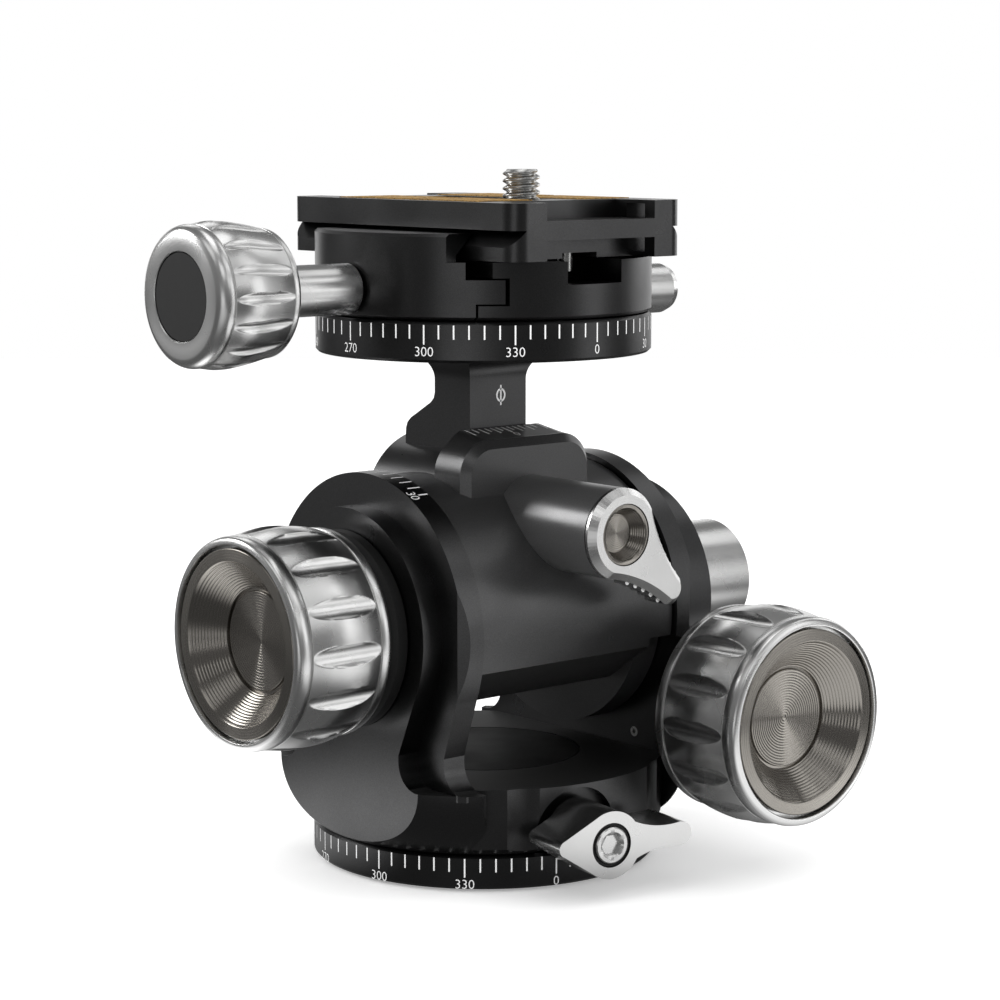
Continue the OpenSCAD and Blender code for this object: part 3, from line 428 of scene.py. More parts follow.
@dataclass
class Ink:
    """Printed marks: ticks, numbers and index lines as thin raised ink."""

    shop: Workshop
    lift: float = 0.02
    tick_w: float = 0.3
    thin: float = 0.02
    em: float = 1.42
    curve_steps: int = 3

    def numeral(self, text: str, height: float) -> Mark:
        """Outline of a number as a flat mesh centred on the origin.

        Args:
            text: the digits.
            height: height of a digit in millimetres.

        Returns:
            Corners in millimetres and the faces between them.
        """
        curve = bpy.data.curves.new("numeral", "FONT")
        curve.body = text
        curve.size = height * self.em
        curve.align_x = "CENTER"
        curve.resolution_u = self.curve_steps
        curve.offset = -self.thin
        holder = shown("numeral", curve)
        bpy.context.view_layer.update()
        graph = bpy.context.evaluated_depsgraph_get()
        mesh = bpy.data.meshes.new_from_object(holder.evaluated_get(graph))
        points = [(v.co.x, v.co.y) for v in mesh.vertices]
        faces = [tuple(p.vertices) for p in mesh.polygons]
        bpy.data.objects.remove(holder)
        bpy.data.curves.remove(curve)
        bpy.data.meshes.remove(mesh)
        low = min(y for _, y in points)
        high = max(y for _, y in points)
        return [(x, y - (low + high) / 2) for x, y in points], faces

    def sheet(self, name: str, flat: list[Mark], wrap: Wrap, body: str) -> None:
        """Joins flat marks into one printed piece laid on a surface.

        Args:
            name: name of the piece.
            flat: marks as corners and faces.
            wrap: surface point for flat coordinates in millimetres.
            body: the body it rides on.
        """
        verts: list[Vector] = []
        faces: list[Cell] = []
        for points, cells in flat:
            base = len(verts)
            verts += [wrap(x, y) * MM for x, y in points]
            faces += [tuple(base + i for i in cell) for cell in cells]
        mesh = bpy.data.meshes.new(name)
        mesh.from_pydata(verts, [], faces)
        self.shop.dress(shown(name, mesh), INK, body, Slot.SILVER)

    def bar(self, x: float, y0: float, y1: float, width: Optional[float] = None) -> Mark:
        """A straight tick between two heights at a place."""
        w = (width or self.tick_w) / 2
        return [(x - w, y0), (x + w, y0), (x + w, y1), (x - w, y1)], [(0, 1, 2, 3)]

    def moved(self, mark: Mark, x: float, y: float) -> Mark:
        """The same mark at another place."""
        return [(px + x, py + y) for px, py in mark[0]], mark[1]


@dataclass
class DegreeRing:
    """Degree scale round a disc or a part of one, with a number each thirty degrees."""

    ink: Ink
    name: str
    body: str
    radius: float
    top: float
    zero: float
    plain: float = 2.3
    numbered: float = 3.2
    digit: float = 1.6
    gap: float = 0.35
    tick_w: float = 0.26
    number_deg: int = 30
    span: range = range(0, 360, 5)
    place: Matrix = field(default_factory=lambda: Matrix.Identity(4))

    def build(self) -> None:
        """Prints the ring."""
        step = self.radius * math.pi / 180.0
        flat: list[Mark] = []
        for a in self.span:
            has_number = a % self.number_deg == 0
            inner = self.top - (self.numbered if has_number else self.plain)
            flat.append(self.ink.bar(a * step, inner, self.top, self.tick_w))
            if has_number:
                mark = self.ink.numeral(str(abs(a)), self.digit)
                flat.append(self.ink.moved(mark, a * step, inner - self.gap - self.digit / 2))

        def wrap(x: float, y: float) -> Vector:
            """Point on the rim for a flat place."""
            a = x / self.radius + math.radians(self.zero)
            r = self.radius + self.ink.lift
            return self.place @ Vector((r * math.cos(a), r * math.sin(a), y))

        self.ink.sheet(self.name, flat, wrap, self.body)


def soft_least(a: float, b: float, k: float) -> float:
    """Smaller of two lengths with a rounded hand-over of width k."""
    h = max(k - abs(a - b), 0.0) / k
    return min(a, b) - h * h * k * 0.25


@dataclass
class FlutedGrip:
    """Turned grip with round flutes cut along its barrel."""

    shop: Workshop
    name: str
    place: Matrix
    profile: Profile
    flutes: int
    turn: float
    cut_r: float
    cut_deep: float
    cut_low: float
    cut_high: float
    per_flute: int = 40
    soft: float = 0.06
    sharp_deg: float = 38.0

    def radius(self, a: float, r: float, t: float) -> float:
        """Radius of the grip with its leaf-shaped flutes, in millimetres.

        Args:
            a: angle round the grip, in radians.
            r: radius of the plain outline.
            t: height along the axis.

        Returns:
            The radius with the flute cut away.
        """
        middle = (self.cut_low + self.cut_high) / 2
        u = (t - middle) / (self.cut_high - middle)
        deep = self.cut_deep * (1.0 - u * u)
        if deep <= 0.0:
            return r
        pitch = 2.0 * math.pi / self.flutes
        d = (a - math.radians(self.turn) + pitch / 2) % pitch - pitch / 2
        at = r + self.cut_r - deep
        side = at * math.sin(d)
        if abs(side) >= self.cut_r:
            return r
        return soft_least(r, at * math.cos(d) - math.sqrt(self.cut_r ** 2 - side ** 2), self.soft)

    def build(self) -> Object:
        """Turns the grip and returns it."""
        segments = self.flutes * self.per_flute
        return self.shop.lathe(self.name, self.profile, self.place, segments, self.radius,
                               self.sharp_deg)


def smooth_arc(points: Profile, per: int) -> Profile:
    """Curve through the points with rounded turns between them.

    Args:
        points: radius and height pairs to pass through.
        per: steps from one point to the next.

    Returns:
        The finer outline.
    """
    pts = [points[0], *points, points[-1]]
    out: Profile = []
    for p0, p1, p2, p3 in zip(pts, pts[1:], pts[2:], pts[3:]):
        for i in range(per):
            u = i / per
            out.append(tuple(
                0.5 * (2 * p1[c] + (p2[c] - p0[c]) * u
                       + (2 * p0[c] - 5 * p1[c] + 4 * p2[c] - p3[c]) * u ** 2
                       + (3 * p1[c] - p0[c] - 3 * p2[c] + p3[c]) * u ** 3) for c in (0, 1)))
    out.append(points[-1])
    return out


def grooved(r0: float, t0: float, r1: float, t1: float, pitch: float, depth: float) -> Profile:
    """Straight stretch of an outline with fine turned grooves.

    Args:
        r0: radius at the start.
        t0: height at the start.
        r1: radius at the end.
        t1: height at the end.
        pitch: distance between grooves.
        depth: depth of a groove, into the solid below the line.

    Returns:
        The outline with its grooves.
    """
    length = math.hypot(r1 - r0, t1 - t0)
    count = max(1, round(length / pitch))
    nx, nt = (t1 - t0) / length, -(r1 - r0) / length
    if nt > 0:
        nx, nt = -nx, -nt
    out: Profile = []
    for i in range(count):
        for u, d in GROOVE:
            f = (i + u) / count
            dip = depth * d
            out.append((max(r0 + (r1 - r0) * f + nx * dip, 0.0), t0 + (t1 - t0) * f + nt * dip))
    out.append((r1, t1))
    return out


@dataclass
class DriveKnob:
    """Fluted drive knob with a dished insert."""

    shop: Workshop
    name: str
    body: str
    place: Matrix
    dish_finish: Finish
    turn: float
    knob_r: float = 18.6
    knob_l: float = 19.3
    dish_r: float = 15.3
    dish_floor: float = 12.4
    ring_r: float = 15.8
    mouth_r: float = 16.38
    mouth_t: float = 2.2
    hub_r: float = 1.7
    flutes: int = 15
    cut_r: float = 2.2
    cut_deep: float = 1.05
    cut_low: float = 2.42
    cut_short: float = 3.03

    def grip_profile(self) -> Profile:
        """Outline of the grip.

        Returns:
            Its points from the hub bore round to the seat of the insert.
        """
        r, end, d, m = self.knob_r, self.knob_l, self.dish_r, self.mouth_r
        swell = [(r - 1.1, 2.45), (r - 0.4, 5.4), (r, 9.2), (r - 0.22, 12.6), (r - 0.85, end - 3.05)]
        nose = [(r - 0.85, end - 0.95), (r - 0.98, end - 0.5), (r - 1.3, end - 0.17),
                (r - 1.75, end - 0.03)]
        back_rim = [(r - 2.0, 0.0), (r - 1.5, 0.12), (r - 1.15, 0.45), (r - 1.05, 0.8), (r - 1.05, 2.05)]
        back_groove = [(r - 1.1, 2.15), (r - 1.35, 2.22), (r - 1.35, 2.34)]
        front_groove = [(r - 1.12, end - 2.98), (r - 1.12, end - 2.86), (r - 0.86, end - 2.78)]
        front_band = [(r - 0.8, end - 2.7), (r - 0.8, end - 1.15)]
        mouth = end - self.mouth_t
        face = [(r - 1.95, end), (m + 0.12, end), (m + 0.04, end - 0.04), (m, end - 0.14), (m, mouth)]
        low, bore = self.dish_floor, self.hub_r
        seat = [(d, mouth), (d, low), (bore, low), (bore, 0.0)]
        return [(bore, 0.0), *back_rim, *back_groove, *smooth_arc(swell, 14), *front_groove,
                *front_band, *smooth_arc(nose, 5), *face, *seat]

    def dish_profile(self) -> Profile:
        """Outline of the insert, with fine turning on its ring, cone and middle.

        Returns:
            Its points from the middle of the back to the middle of the dish.
        """
        end, f, d, r = self.knob_l, self.dish_floor, self.dish_r, self.ring_r
        return [
            (0.0, f), (d - 0.6, f), (d - 0.6, end - 1.4), (r, end - 1.4), (r, end - 0.5),
            (r - 0.1, end - 0.38),
            *grooved(r - 0.15, end - 0.36, 13.8, end - 0.36, 0.45, 0.008),
            (13.7, end - 0.42), *grooved(13.6, end - 0.55, 8.9, end - 5.0, 0.55, 0.045),
            (8.8, end - 5.6), (8.4, end - 5.6), (8.35, end - 5.2), (8.25, end - 5.1),
            *grooved(8.2, end - 5.08, 0.4, end - 5.55, 0.45, 0.035), (0.0, end - 5.56),
        ]

    def build(self) -> None:
        """Makes the grip and the insert."""
        grip = FlutedGrip(self.shop, f"{self.name}_grip", self.place, self.grip_profile(), self.flutes,
                          self.turn, self.cut_r, self.cut_deep, self.cut_low,
                          self.knob_l - self.cut_short).build()
        self.shop.dress(grip, SILVER, self.body, Slot.SILVER, self.name)
        dish = self.shop.lathe(f"{self.name}_insert", self.dish_profile(), self.place,
                               sharp_deg=GROOVED_DEG)
        self.shop.dress(dish, self.dish_finish, self.body, Slot.DISH, f"{self.name}_dish")


@dataclass
class ClampKnob:
    """Scalloped clamp knob with its neck and flat cap."""

    shop: Workshop
    body: str = "clamp_drive_set"
    knob_x: float = 46.6
    axis_z: float = 99.5
    neck_back: float = -17.3
    radius: float = 11.9
    cap_r: float = 7.2
    cap_seat: float = 15.3
    bore_r: float = 2.5
    face: float = 16.3
    flutes: int = 16
    cut_r: float = 1.25
    cut_deep: float = 0.6
    cut_low: float = 1.42
    cut_high: float = 13.3

    def build(self) -> None:
        """Makes the grip with its neck, and the cap."""
        place = placed(Facing.LEFT, -self.knob_x, 0.0, self.axis_z)
        r, cap, bore, back, seat = self.radius, self.cap_r, self.bore_r, self.neck_back, self.cap_seat
        swell = [(10.6, 1.45), (11.2, 4.2), (11.75, 7.6), (r, 9.6), (11.8, 11.4), (11.4, self.cut_high)]
        nose = [(11.5, 14.0), (11.45, 14.7), (11.15, 15.4), (10.65, 15.92), (10.05, 16.2)]
        profile = [
            (bore, back), (3.95, back), (4.25, back + 0.3), (4.25, -0.35), (4.45, -0.1), (4.9, 0.0),
            (9.8, 0.0), (10.25, 0.12), (10.5, 0.4), (10.55, 0.7), (10.55, 1.2),
            (10.4, 1.28), (10.4, 1.38), *smooth_arc(swell, 9),
            (11.2, 13.38), (11.2, 13.5), (11.4, 13.58), *smooth_arc(nose, 5),
            (9.7, self.face), (cap + 0.15, self.face), (cap + 0.03, 16.2), (cap, 16.0),
            (cap, seat), (bore, seat), (bore, back),
        ]
        cuts = FlutedGrip(self.shop, "clamp_knob_grip", place, profile, self.flutes, 0.0,
                          self.cut_r, self.cut_deep, self.cut_low, self.cut_high)
        self.shop.dress(cuts.build(), SILVER, self.body, Slot.SILVER, "clamp_knob")
        rim = cap - 0.1
        disc = [(0.0, seat), (rim, seat), (rim, 16.0), (rim - 0.1, 16.12), (0.0, 16.12)]
        lid = self.shop.lathe("clamp_knob_disc", disc, place, segments=120)
        self.shop.dress(lid, CAP, self.body, Slot.TRIM, "clamp_knob_cap")


@dataclass
class FrontInsert:
    """Dished insert of the roll lock lever."""

    shop: Workshop
    back: float = 34.7
    face: float = 1.6
    radius: float = 5.2
    depth: float = 3.0

    def build(self) -> None:
        """Turns the insert with fine rings on its cone and floor."""
        place = placed(Facing.FRONT, 0.0, -self.back, ROLL_Z)
        t, r = self.face, self.radius
        low = t - self.depth
        profile = [
            (0.0, low), (r - 0.1, low), (r - 0.1, t - 0.3), (r - 0.16, t - 0.16), (r - 0.65, t - 0.14),
            (r - 0.75, t - 0.24),
            *grooved(r - 0.8, t - 0.3, 3.3, t - 2.3, 0.4, 0.03),
            (3.2, t - 2.55), (3.02, t - 2.55), (2.98, t - 2.4),
            *grooved(2.9, t - 2.38, 0.2, t - 2.46, 0.36, 0.025), (0.0, t - 2.46),
        ]
        insert = self.shop.lathe("front_lever_cup", profile, place, SMALL_STEPS, sharp_deg=GROOVED_DEG)
        self.shop.dress(insert, DISH_Y, "front_lever_set", Slot.DISH, "front_lever_dish")


@dataclass
class LeverScrew:
    """Socket screw of the pan lever with a dark ring round its head."""

    shop: Workshop
    rise: float = 9.2
    turn: float = -10.0
    inner: float = 20.3
    stud_r: float = 2.0
    face: float = 41.6
    ring_r: float = 3.68
    ring_t: float = 1.6
    head_r: float = 3.12
    key_r: float = 1.95
    key_deep: float = 1.0
    proud: float = 0.2
    sunk: float = 0.3
    sharp_deg: float = 28.0
    body: str = "pan_lever_set"

    def _hexed(self, a: float, r: float, t: float) -> float:
        """Radius of the screw with its six-sided socket.

        Args:
            a: angle round the screw, in radians.
            r: radius of the plain outline.
            t: height along the axis, which changes nothing.

        Returns:
            The radius, which stays round on the head.
        """
        if r > self.key_r:
            return r
        return r * math.cos(math.pi / 6.0) / math.cos(a % (math.pi / 3.0) - math.pi / 6.0)

    def build(self) -> None:
        """Turns the screw and the dark ring round it in the lever's recess."""
        place = placed(Facing.FRONT, 0.0, 0.0, self.rise, self.turn)
        low, top, r, key = self.face - self.ring_t, self.face + self.proud, self.head_r, self.key_r
        stud, end, well = self.stud_r, self.inner, top - self.key_deep
        outline = [
            (0.0, end), (stud - 0.2, end), (stud, end + 0.2), (stud, low + 0.05), (r, low + 0.05),
            (r, top - 0.35), (r - 0.08, top - 0.14), (r - 0.26, top), (key + 0.32, top),
            (key, top - 0.3), (key, well), (0.0, well),
        ]
        screw = self.shop.lathe("pan_lever_socket_screw", outline, place, SMALL_STEPS, self._hexed,
                                self.sharp_deg)
        self.shop.dress(screw, SILVER, self.body, Slot.STEEL, "pan_lever_screw")
        # A matte black ring fills the recess round the screw's head.
        rim, wide = self.face - self.sunk, self.ring_r
        seat = [
            (0.0, low + 0.02), (wide, low + 0.02), (wide, rim - 0.1), (wide - 0.1, rim), (r + 0.12, rim),
            (r + 0.03, rim - 0.1), (r + 0.03, low + 0.04), (0.0, low + 0.04),
        ]
        dark_ring = self.shop.lathe("pan_lever_dark_ring", seat, place, SMALL_STEPS)
        self.shop.dress(dark_ring, TRIM, self.body, Slot.TRIM)


@dataclass
class FloorCover:
    """Round cover in the yoke's floor, with a small chamfer that shows as a fine ring."""

    shop: Workshop
    radius: float = 16.95
    top: float = 17.3
    thick: float = 2.0
    chamfer: float = 0.35

    def build(self) -> None:
        """Turns the cover."""
        place = placed(Facing.UP, 0.0, 0.0, 0.0)
        r, t, low, c = self.radius, self.top, self.top - self.thick, self.chamfer
        profile = [(0.0, low), (r, low), (r, t - c), (r - c, t), (0.0, t)]
        cover = self.shop.lathe("floor_cover_disc", profile, place)
        self.shop.dress(cover, COVER, "yoke_frame", Slot.BLACK, "floor_cover")


@dataclass
class CameraScrew:
    """Quarter-inch screw with a rolled thread above its flat head."""

    shop: Workshop
    body: str = "camera_bolt"
    y: float = -9.9
    low: float = 105.5
    head_r: float = 6.4
    head_t: float = 3.0
    core_r: float = 2.5
    crest_r: float = 3.17
    top: float = 119.0
    pitch: float = 1.27
    around: int = 72
    rows: int = 24
    sunk: float = 0.2
    flank_end: float = 0.86
    flank_wide: float = 0.62
    lead_in: float = 0.7
    lead_least: float = 0.25
    tip_r: float = 2.2

    def _start(self) -> float:
        """Height where the thread begins, just inside the head."""
        return self.low + self.head_t - self.sunk

    def _thread(self, a: float, r: float, t: float) -> float:
        """Radius of the thread.

        Args:
            a: angle round the screw, in radians.
            r: radius of the plain outline, which changes nothing.
            t: height along the axis.

        Returns:
            The radius, lower at the screw's tip.
        """
        u = ((t - self._start()) / self.pitch - a / (2.0 * math.pi)) % 1.0
        rise = min(abs(u - 0.5) * 2.0, 1.0)
        shape = min(max((self.flank_end - rise) / self.flank_wide, 0.0), 1.0)
        lead = min(max((self.top - t) / self.lead_in, 0.0), 1.0)
        full = self.lead_least + (1.0 - self.lead_least) * lead
        return self.core_r + (self.crest_r - self.core_r) * shape * full

    def build(self) -> None:
        """Makes the thread as one closed helix body and the head under it."""
        place = placed(Facing.UP, 0.0, self.y, 0.0)
        start = self._start()
        span = self.top - start
        count = int(span / self.pitch * self.rows)
        profile = [(self.crest_r, start + span * i / count) for i in range(count + 1)]
        outline = [(0.0, start), *profile, (self.tip_r, self.top), (0.0, self.top)]
        shank = self.shop.lathe("camera_screw_thread", outline, place, self.around, self._thread,
                                GROOVED_DEG)
        self.shop.dress(shank, STEEL, self.body, Slot.STEEL, "camera_screw")
        low, high, r = self.low, self.low + self.head_t, self.head_r
        button = [(0.0, low), (r - 0.5, low), (r, low + 0.5),
                  (r, high - 0.3), (r - 0.3, high), (0.0, high)]
        head = self.shop.lathe("camera_screw_head", button, place, SMALL_STEPS)
        self.shop.dress(head, STEEL, self.body, Slot.STEEL)


@dataclass
class Solids:
    """Solids that stay as they are and only get their finish and edges."""

    shop: Workshop
    rows: tuple[tuple[Finish, float, str], ...] = (
        (YOKE, 0.35, "yoke"),
        (BLACK, 0.0, "base_disc gear_cover top_disc"),
        (BLACK, 0.2, "post clamp_body clamp_jaw"),
        (BLACK, 0.3, "plate"),
        (DRUM_PAINTED_SHEEN, 0.25, "drum"),
        (DRUM_PAINTED_SHEEN, 0.15, "saddle"),
        (TUBE_PAINTED_SHEEN, 0.25, "lock_tube"),
        (TRIM, 0.0, "journal_collar"),
        (SILVER, 0.3, "pan_lever side_lever pan_lock_knob front_lever"),
        (STEEL, 0.0, "tripod_bush pan_spindle pan_cap cap_screw_1 cap_screw_2 cap_screw_3 arm_screw"),
        (STEEL, 0.0, "roll_pin tilt_worm roll_worm side_lever_stud front_lever_stud clamp_bolt"),
        (STEEL, 0.0, "post_dowel_1 post_dowel_2 jaw_pin_1 jaw_pin_2 clamp_screw stop_pin"),
        (BRASS, 0.0, "pan_brake tilt_bush_front tilt_bush_rear tilt_wheel"),
        (BRASS, 0.0, "roll_bush_left roll_bush_right roll_wheel"),
        (RUBBER, 0.0, "base_pad"),
        (PAD, 0.15, "plate_pad_1 plate_pad_2 plate_pad_3 plate_pad_4"),
    )

    def build(self) -> None:
        """Paints every solid that stays, each row with its finish and width of edge."""
        for finish, bevel, names in self.rows:
            for node in names.split():
                self.shop.paint(node, finish, bevel)


@dataclass
class PostIndex:
    """Index on the post: a ring crossed by an upright line."""

    ink: Ink
    at: Triple = (0.6, -3.9, 80.2)
    inner: Point2 = (0.72, 0.86)
    outer: Point2 = (1.06, 1.2)
    line: Point2 = (1.75, 0.34)
    steps: int = 32

    def build(self) -> None:
        """Prints the index."""
        ring: list[Point2] = []
        cells: list[Cell] = []
        n = self.steps
        for k in range(n):
            a = 2 * math.pi * k / n
            for wide, tall in (self.inner, self.outer):
                ring.append((wide * math.cos(a), tall * math.sin(a)))
            m = (k + 1) % n
            cells.append((2 * k, 2 * k + 1, 2 * m + 1, 2 * m))
        reach, width = self.line
        flat = [(ring, cells), self.ink.bar(0.0, -reach, reach, width)]
        at_x, at_y, at_z = self.at

        def wrap(x: float, y: float) -> Vector:
            """Point on the post's front for a flat place."""
            return Vector((x + at_x, at_y - self.ink.lift, at_z + y))

        self.ink.sheet("post_index", flat, wrap, "platform")


@dataclass
class SaddleScale:
    """Slanted ridge on the saddle's top that carries the roll scale, read against the post."""

    ink: Ink
    top: float = 73.6
    flat_half: float = 8.5
    corner: float = 6.0
    half: float = 12.5
    back: float = -4.35
    front: float = -10.7
    rise: float = 1.2
    sunk: float = 0.3
    under: float = 0.03
    margin: float = 0.3
    long: float = 3.0
    short: float = 2.0
    digit: float = 1.7
    digit_at: float = 4.2
    long_deg: int = 10
    stations: int = 51

    def surface(self, x: float, y: float, lift: float = 0.0) -> Vector:
        """Point on the ridge's slanted face, in millimetres.

        Args:
            x: place across the saddle.
            y: place along the saddle, between the ridge's front and back edges.
            lift: distance above the face.

        Returns:
            The point in the row frame.
        """
        over = max(abs(x) - self.flat_half, 0.0)
        drop = self.corner - math.sqrt(self.corner ** 2 - over ** 2)
        fade = min(over / (self.half - self.flat_half), 1.0)
        rise = self.rise * (1.0 - fade * fade * (3.0 - 2.0 * fade))
        along = (y - self.front) / (self.back - self.front)
        return Vector((x, y, self.top - drop + rise * along - self.under + lift))

    def ridge(self) -> None:
        """Lofts the ridge from end to end, its foot sunk in the saddle."""
        verts: list[Vector] = []
        foot = Vector((0.0, 0.0, -self.sunk))
        for k in range(self.stations):
            x = self.half * (2.0 * k / (self.stations - 1) - 1.0)
            front, back = self.surface(x, self.front), self.surface(x, self.back)
            deep = Vector((x, self.back, front.z)) + foot
            verts += [corner * MM for corner in (front + foot, front, back, deep)]
        faces: list[Cell] = [(3, 2, 1, 0)]
        for k in range(self.stations - 1):
            a, b = 4 * k, 4 * k + 4
            faces += [(a + i, a + (i + 1) % 4, b + (i + 1) % 4, b + i) for i in range(4)]
        last = 4 * (self.stations - 1)
        faces.append((last, last + 1, last + 2, last + 3))
        obj = self.ink.shop.mesh_object("saddle_ridge", verts, faces)
        self.ink.shop.dress(obj, DRUM_PAINTED_SHEEN, "cradle", Slot.BLACK)

    def build(self) -> None:
        """Makes the ridge and prints a tick each five degrees, with a nought in the middle."""
        self.ridge()
        reach, edge = self.top - ROLL_Z, self.back - self.margin
        flat: list[Mark] = []
        for a in ARC_DEG:
            length = self.long if a % self.long_deg == 0 else self.short
            flat.append(self.ink.bar(reach * math.tan(math.radians(a)), edge - length, edge))
        flat.append(self.ink.moved(self.ink.numeral("0", self.digit), 0.0, edge - self.digit_at))
        lift = self.ink.lift
        self.ink.sheet("saddle_scale", flat, lambda x, y: self.surface(x, y, lift), "cradle")


@dataclass(frozen=True)
class Card:
    """Round pale card on the floor that only reflections show, placed and sized in metres."""

    x: float
    y: float
    inner: float
    outer: float
    glow: float

    def strength(self, tree: NodeTree) -> NodeSocket:
        """Adds the card's soft-edged brightness to a node tree.

        Args:
            tree: nodes of the floor's material.

        Returns:
            The socket with the brightness.
        """
        coords = tree.nodes.new("ShaderNodeTexCoord")
        away = tree.nodes.new("ShaderNodeVectorMath")
        away.operation = "DISTANCE"
        away.inputs[1].default_value = (self.x, self.y, 0.0)
        fade = preset(tree.nodes.new("ShaderNodeMapRange"), {
            "From Min": self.inner, "From Max": self.outer, "To Min": self.glow, "To Max": 0.0,
        })
        fade.interpolation_type = "SMOOTHSTEP"
        wired(tree, (coords, "Object", away, 0), (away, "Value", fade, "Value"))
        return fade.outputs["Result"]


@dataclass
class Studio:
    """Camera, floor with its cards, backdrop, soft lamps and surroundings."""

    eye: Triple = (-0.3084455, -0.3628711, 0.12718)
    pitch_deg: float = 7.8488
    heading_deg: float = 40.7098
    lens_mm: float = 99.181
    sensor_mm: float = 36.0
    near: float = 0.01
    floor_half: float = 3.0
    floor_drop: float = 0.0005
    floor_rough: float = 0.9
    floor_specular: float = 0.1
    floor_mottle: float = 3.0
    floor_tones: Point2 = (0.9, 0.94)
    floor_glow: float = 0.3
    floor_mirror: float = 0.1
    sky: float = 0.9
    sky_mirror: float = 0.16
    cards: tuple[Card, ...] = (
        Card(0.035, -0.12, 0.045, 0.09, 0.95),
        Card(0.093, -0.082, 0.022, 0.044, 0.9),
        Card(0.14, -0.23, 0.035, 0.085, 1.0),
        Card(0.25, -0.33, 0.06, 0.14, 0.8),
        Card(0.4, -0.5, 0.1, 0.2, 0.8),
        Card(0.6, -0.72, 0.14, 0.3, 0.85),
        Card(-0.06, 0.035, 0.01, 0.05, 1.6),
        Card(-0.25, 0.26, 0.06, 0.16, 0.15),
        Card(-0.49, 0.57, 0.15, 0.35, 0.4),
        Card(-0.28, -0.22, 0.1, 0.24, 0.45),
        Card(-0.6, -0.5, 0.15, 0.35, 0.5),
    )
    drop_turn: float = 49.3
    drop_away: float = 1.0
    drop_size: Point2 = (1.4, 0.4)
    reach: float = 0.8
    middle: Triple = (0.0, 0.0, 0.06)
    lamps: tuple[tuple[str, float, float, Point2, float], ...] = (
        ("right_low", 0.0, 6.0, (0.36, 0.2), 1.8),
        ("right_mid", 0.0, 26.0, (0.36, 0.28), 1.2),
        ("key", -53.0, 13.0, (0.28, 0.4), 1.2),
        ("front_right_high", -44.0, 38.0, (0.24, 0.24), 0.6),
        ("right_high", 0.0, 50.0, (0.36, 0.28), 0.9),
        ("back", 70.0, 38.0, (0.3, 0.24), 1.2),
        ("back_left", 126.0, 23.0, (0.24, 0.34), 6.8),
        ("fill", 215.0, 0.0, (0.4, 0.2), 0.75),
        ("left_front", 240.0, 40.0, (0.36, 0.28), 1.0),
        ("front_mid", 280.0, 26.0, (0.36, 0.28), 0.7),
        ("left_high", 180.0, 50.0, (0.4, 0.34), 0.7),
        ("front_high", 300.0, 50.0, (0.4, 0.34), 0.7),
        ("top_back", 49.0, 80.0, (0.36, 0.36), 1.2),
        ("top_front", 229.0, 80.0, (0.36, 0.36), 0.9),
    )

    def camera(self) -> None:
        """Sets the camera at the photograph's view."""
        data = bpy.data.cameras.new("view")
        data.lens = self.lens_mm
        data.sensor_width = self.sensor_mm
        data.clip_start = self.near
        obj = shown("view", data)
        obj.location = self.eye
        obj.rotation_euler = (math.radians(90.0 - self.pitch_deg), 0.0, math.radians(-self.heading_deg))
        bpy.context.scene.camera = obj

    def lamp(self, name: str, turn: float, rise: float, size: Point2, glow: float) -> None:
        """Adds one soft box that faces the head.

        Args:
            name: name of the lamp.
            turn: its direction about the upright axis, in degrees from X.
            rise: its height above the level, in degrees.
            size: its width and height in metres.
            glow: brightness of its face, where one is white.
        """
        data = bpy.data.lights.new(name, "AREA")
        data.shape = "RECTANGLE"
        data.size, data.size_y = size
        data.energy = math.pi * size[0] * size[1] * glow
        a, e = math.radians(turn), math.radians(rise)
        away = Vector((math.cos(e) * math.cos(a), math.cos(e) * math.sin(a), math.sin(e)))
        obj = shown(name, data)
        obj.location = Vector(self.middle) + away * self.reach
        obj.rotation_euler = (-away).to_track_quat("-Z", "Y").to_euler()

    def floor(self) -> None:
        """Lays a pale floor that shows as white, keeps a soft shadow and is dimmer in reflections."""
        mesh = bpy.data.meshes.new("floor")
        s = self.floor_half
        mesh.from_pydata([(-s, -s, 0), (s, -s, 0), (s, s, 0), (-s, s, 0)], [], [(0, 1, 2, 3)])
        obj = shown("floor", mesh)
        obj.location.z = -self.floor_drop
        mat = bpy.data.materials.new("pale_floor")
        mat.use_nodes = True
        mat.cycles.emission_sampling = "NONE"
        tree, nodes = mat.node_tree, mat.node_tree.nodes
        bsdf = preset(nodes["Principled BSDF"], {
            "Roughness": self.floor_rough, "Specular IOR Level": self.floor_specular,
        })
        mottle = preset(nodes.new("ShaderNodeTexNoise"), {"Scale": self.floor_mottle})
        ramp = nodes.new("ShaderNodeValToRGB")
        for stop, tone in zip(ramp.color_ramp.elements, self.floor_tones):
            stop.color = (tone, tone, tone, 1.0)
        glow = preset(nodes.new("ShaderNodeEmission"), {"Strength": self.floor_glow})
        mirror = nodes.new("ShaderNodeEmission")
        level: Source = self.floor_mirror
        for card in self.cards:
            level = figured(tree, "ADD", card.strength(tree), level)
        tree.links.new(level, mirror.inputs["Strength"])
        both = nodes.new("ShaderNodeAddShader")
        path = nodes.new("ShaderNodeLightPath")
        mix = nodes.new("ShaderNodeMixShader")
        wired(tree, (mottle, "Fac", ramp, "Fac"), (ramp, "Color", bsdf, "Base Color"),
              (bsdf, "BSDF", both, 0), (glow, "Emission", both, 1), (path, "Is Glossy Ray", mix, "Fac"),
              (both, "Shader", mix, 1), (mirror, "Emission", mix, 2),
              (mix, "Shader", nodes["Material Output"], "Surface"))
        mesh.materials.append(mat)

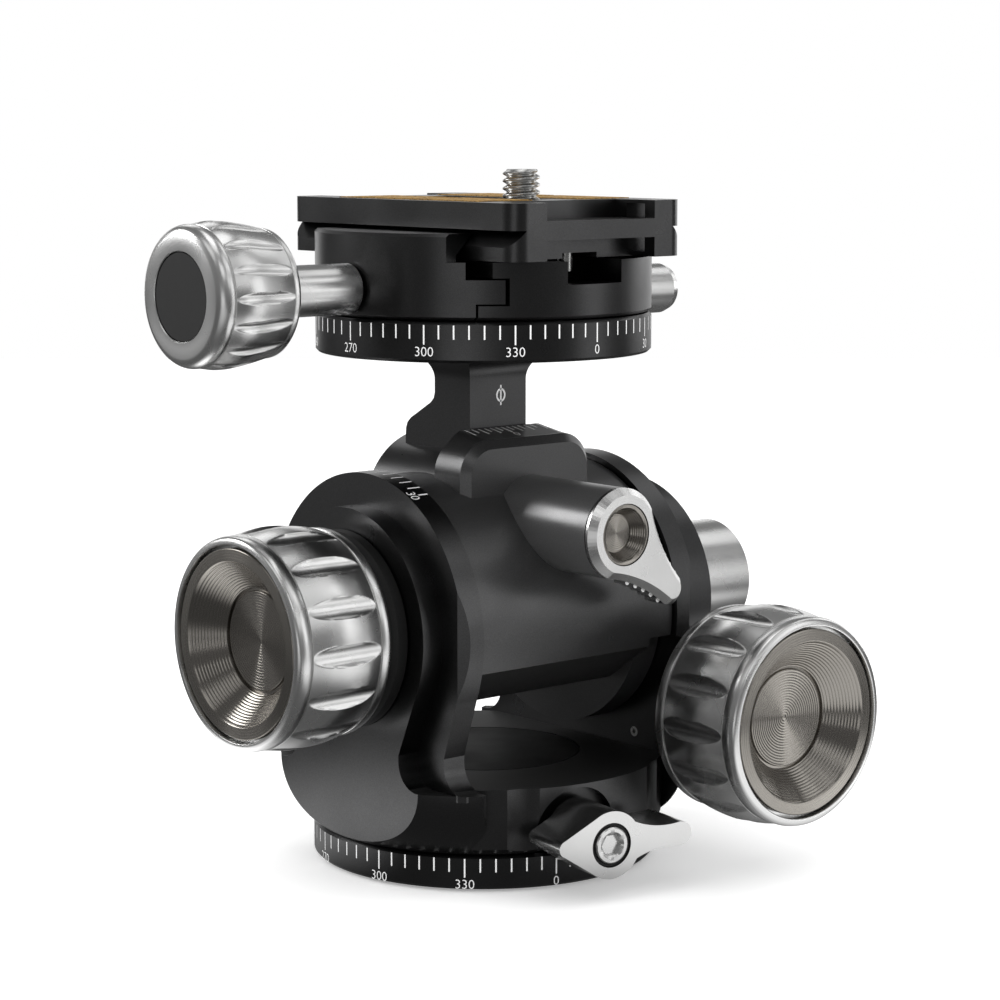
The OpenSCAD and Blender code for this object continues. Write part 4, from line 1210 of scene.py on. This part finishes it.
    def backdrop(self) -> None:
        """Stands a white backdrop behind the head, which metal shows as well as the camera."""
        wide, tall = self.drop_size
        mesh = bpy.data.meshes.new("backdrop")
        corners = [(-wide / 2, 0, 0), (wide / 2, 0, 0), (wide / 2, 0, tall), (-wide / 2, 0, tall)]
        mesh.from_pydata(corners, [], [(0, 1, 2, 3)])
        obj = shown("backdrop", mesh)
        a = math.radians(self.drop_turn)
        obj.location = Vector((math.cos(a), math.sin(a), 0.0)) * self.drop_away
        obj.rotation_euler.z = a - math.pi / 2
        mat = bpy.data.materials.new("white_backdrop")
        mat.use_nodes = True
        mat.cycles.emission_sampling = "NONE"
        tree = mat.node_tree
        glow = preset(tree.nodes.new("ShaderNodeEmission"), {"Strength": 1.0})
        wired(tree, (glow, "Emission", tree.nodes["Material Output"], "Surface"))
        mesh.materials.append(mat)

    def world(self) -> None:
        """White surroundings for the camera and for soft light, and dim ones for reflections."""
        world = bpy.data.worlds.new("surroundings")
        bpy.context.scene.world = world
        world.use_nodes = True
        world.cycles.sampling_method = "NONE"
        tree, nodes = world.node_tree, world.node_tree.nodes
        soft = nodes["Background"]
        dim, white = nodes.new("ShaderNodeBackground"), nodes.new("ShaderNodeBackground")
        for part, level in ((soft, self.sky), (dim, self.sky_mirror), (white, 1.0)):
            preset(part, {"Color": WHITE, "Strength": level})
        path = nodes.new("ShaderNodeLightPath")
        seen, mix = nodes.new("ShaderNodeMixShader"), nodes.new("ShaderNodeMixShader")
        straight = figured(tree, "MAXIMUM", path.outputs["Is Camera Ray"],
                           path.outputs["Is Transmission Ray"])
        tree.links.new(straight, mix.inputs["Fac"])
        wired(tree, (path, "Is Glossy Ray", seen, "Fac"), (soft, "Background", seen, 1),
              (dim, "Background", seen, 2), (seen, "Shader", mix, 1), (white, "Background", mix, 2),
              (mix, "Shader", nodes["World Output"], "Surface"))

    def build(self) -> None:
        """Sets up the whole studio."""
        bpy.context.scene.view_settings.view_transform = "Standard"
        self.camera()
        self.floor()
        self.backdrop()
        self.world()
        for row in self.lamps:
            self.lamp(*row)


def main() -> None:
    """Builds the studio and each sub-assembly in order and reports the pieces."""
    logging.basicConfig(level=logging.INFO)
    shop = Workshop()
    ink = Ink(shop)
    Studio().build()
    Solids(shop).build()
    tilt_place = placed(Facing.FRONT, x=26.0, y=-KNOB_OUT, z=27.1)
    DriveKnob(shop, "tilt_knob", "tilt_drive_set", tilt_place, DISH_Y, turn=13.5).build()
    roll_place = placed(Facing.LEFT, x=-KNOB_OUT, y=0.0, z=TILT_Z)
    DriveKnob(shop, "roll_knob", "roll_drive_set", roll_place, DISH_X, turn=5.25).build()
    ClampKnob(shop).build()
    FrontInsert(shop).build()
    LeverScrew(shop).build()
    FloorCover(shop).build()
    CameraScrew(shop).build()
    DegreeRing(ink, "base_scale", "base", radius=30.0, top=5.3, zero=-106.5).build()
    DegreeRing(ink, "top_scale", "platform", radius=29.0, top=94.1, zero=-90.0).build()
    SaddleScale(ink).build()
    DegreeRing(ink, "arm_scale", "yoke_frame", radius=26.0, top=-0.15, zero=-3.3, plain=2.6,
               numbered=1.95, digit=1.75, gap=0.225, tick_w=0.3, span=ARC_DEG, place=ARM).build()
    PostIndex(ink).build()
    log.info("%d pieces made", len(shop.made))


if __name__ == "__main__":
    main()
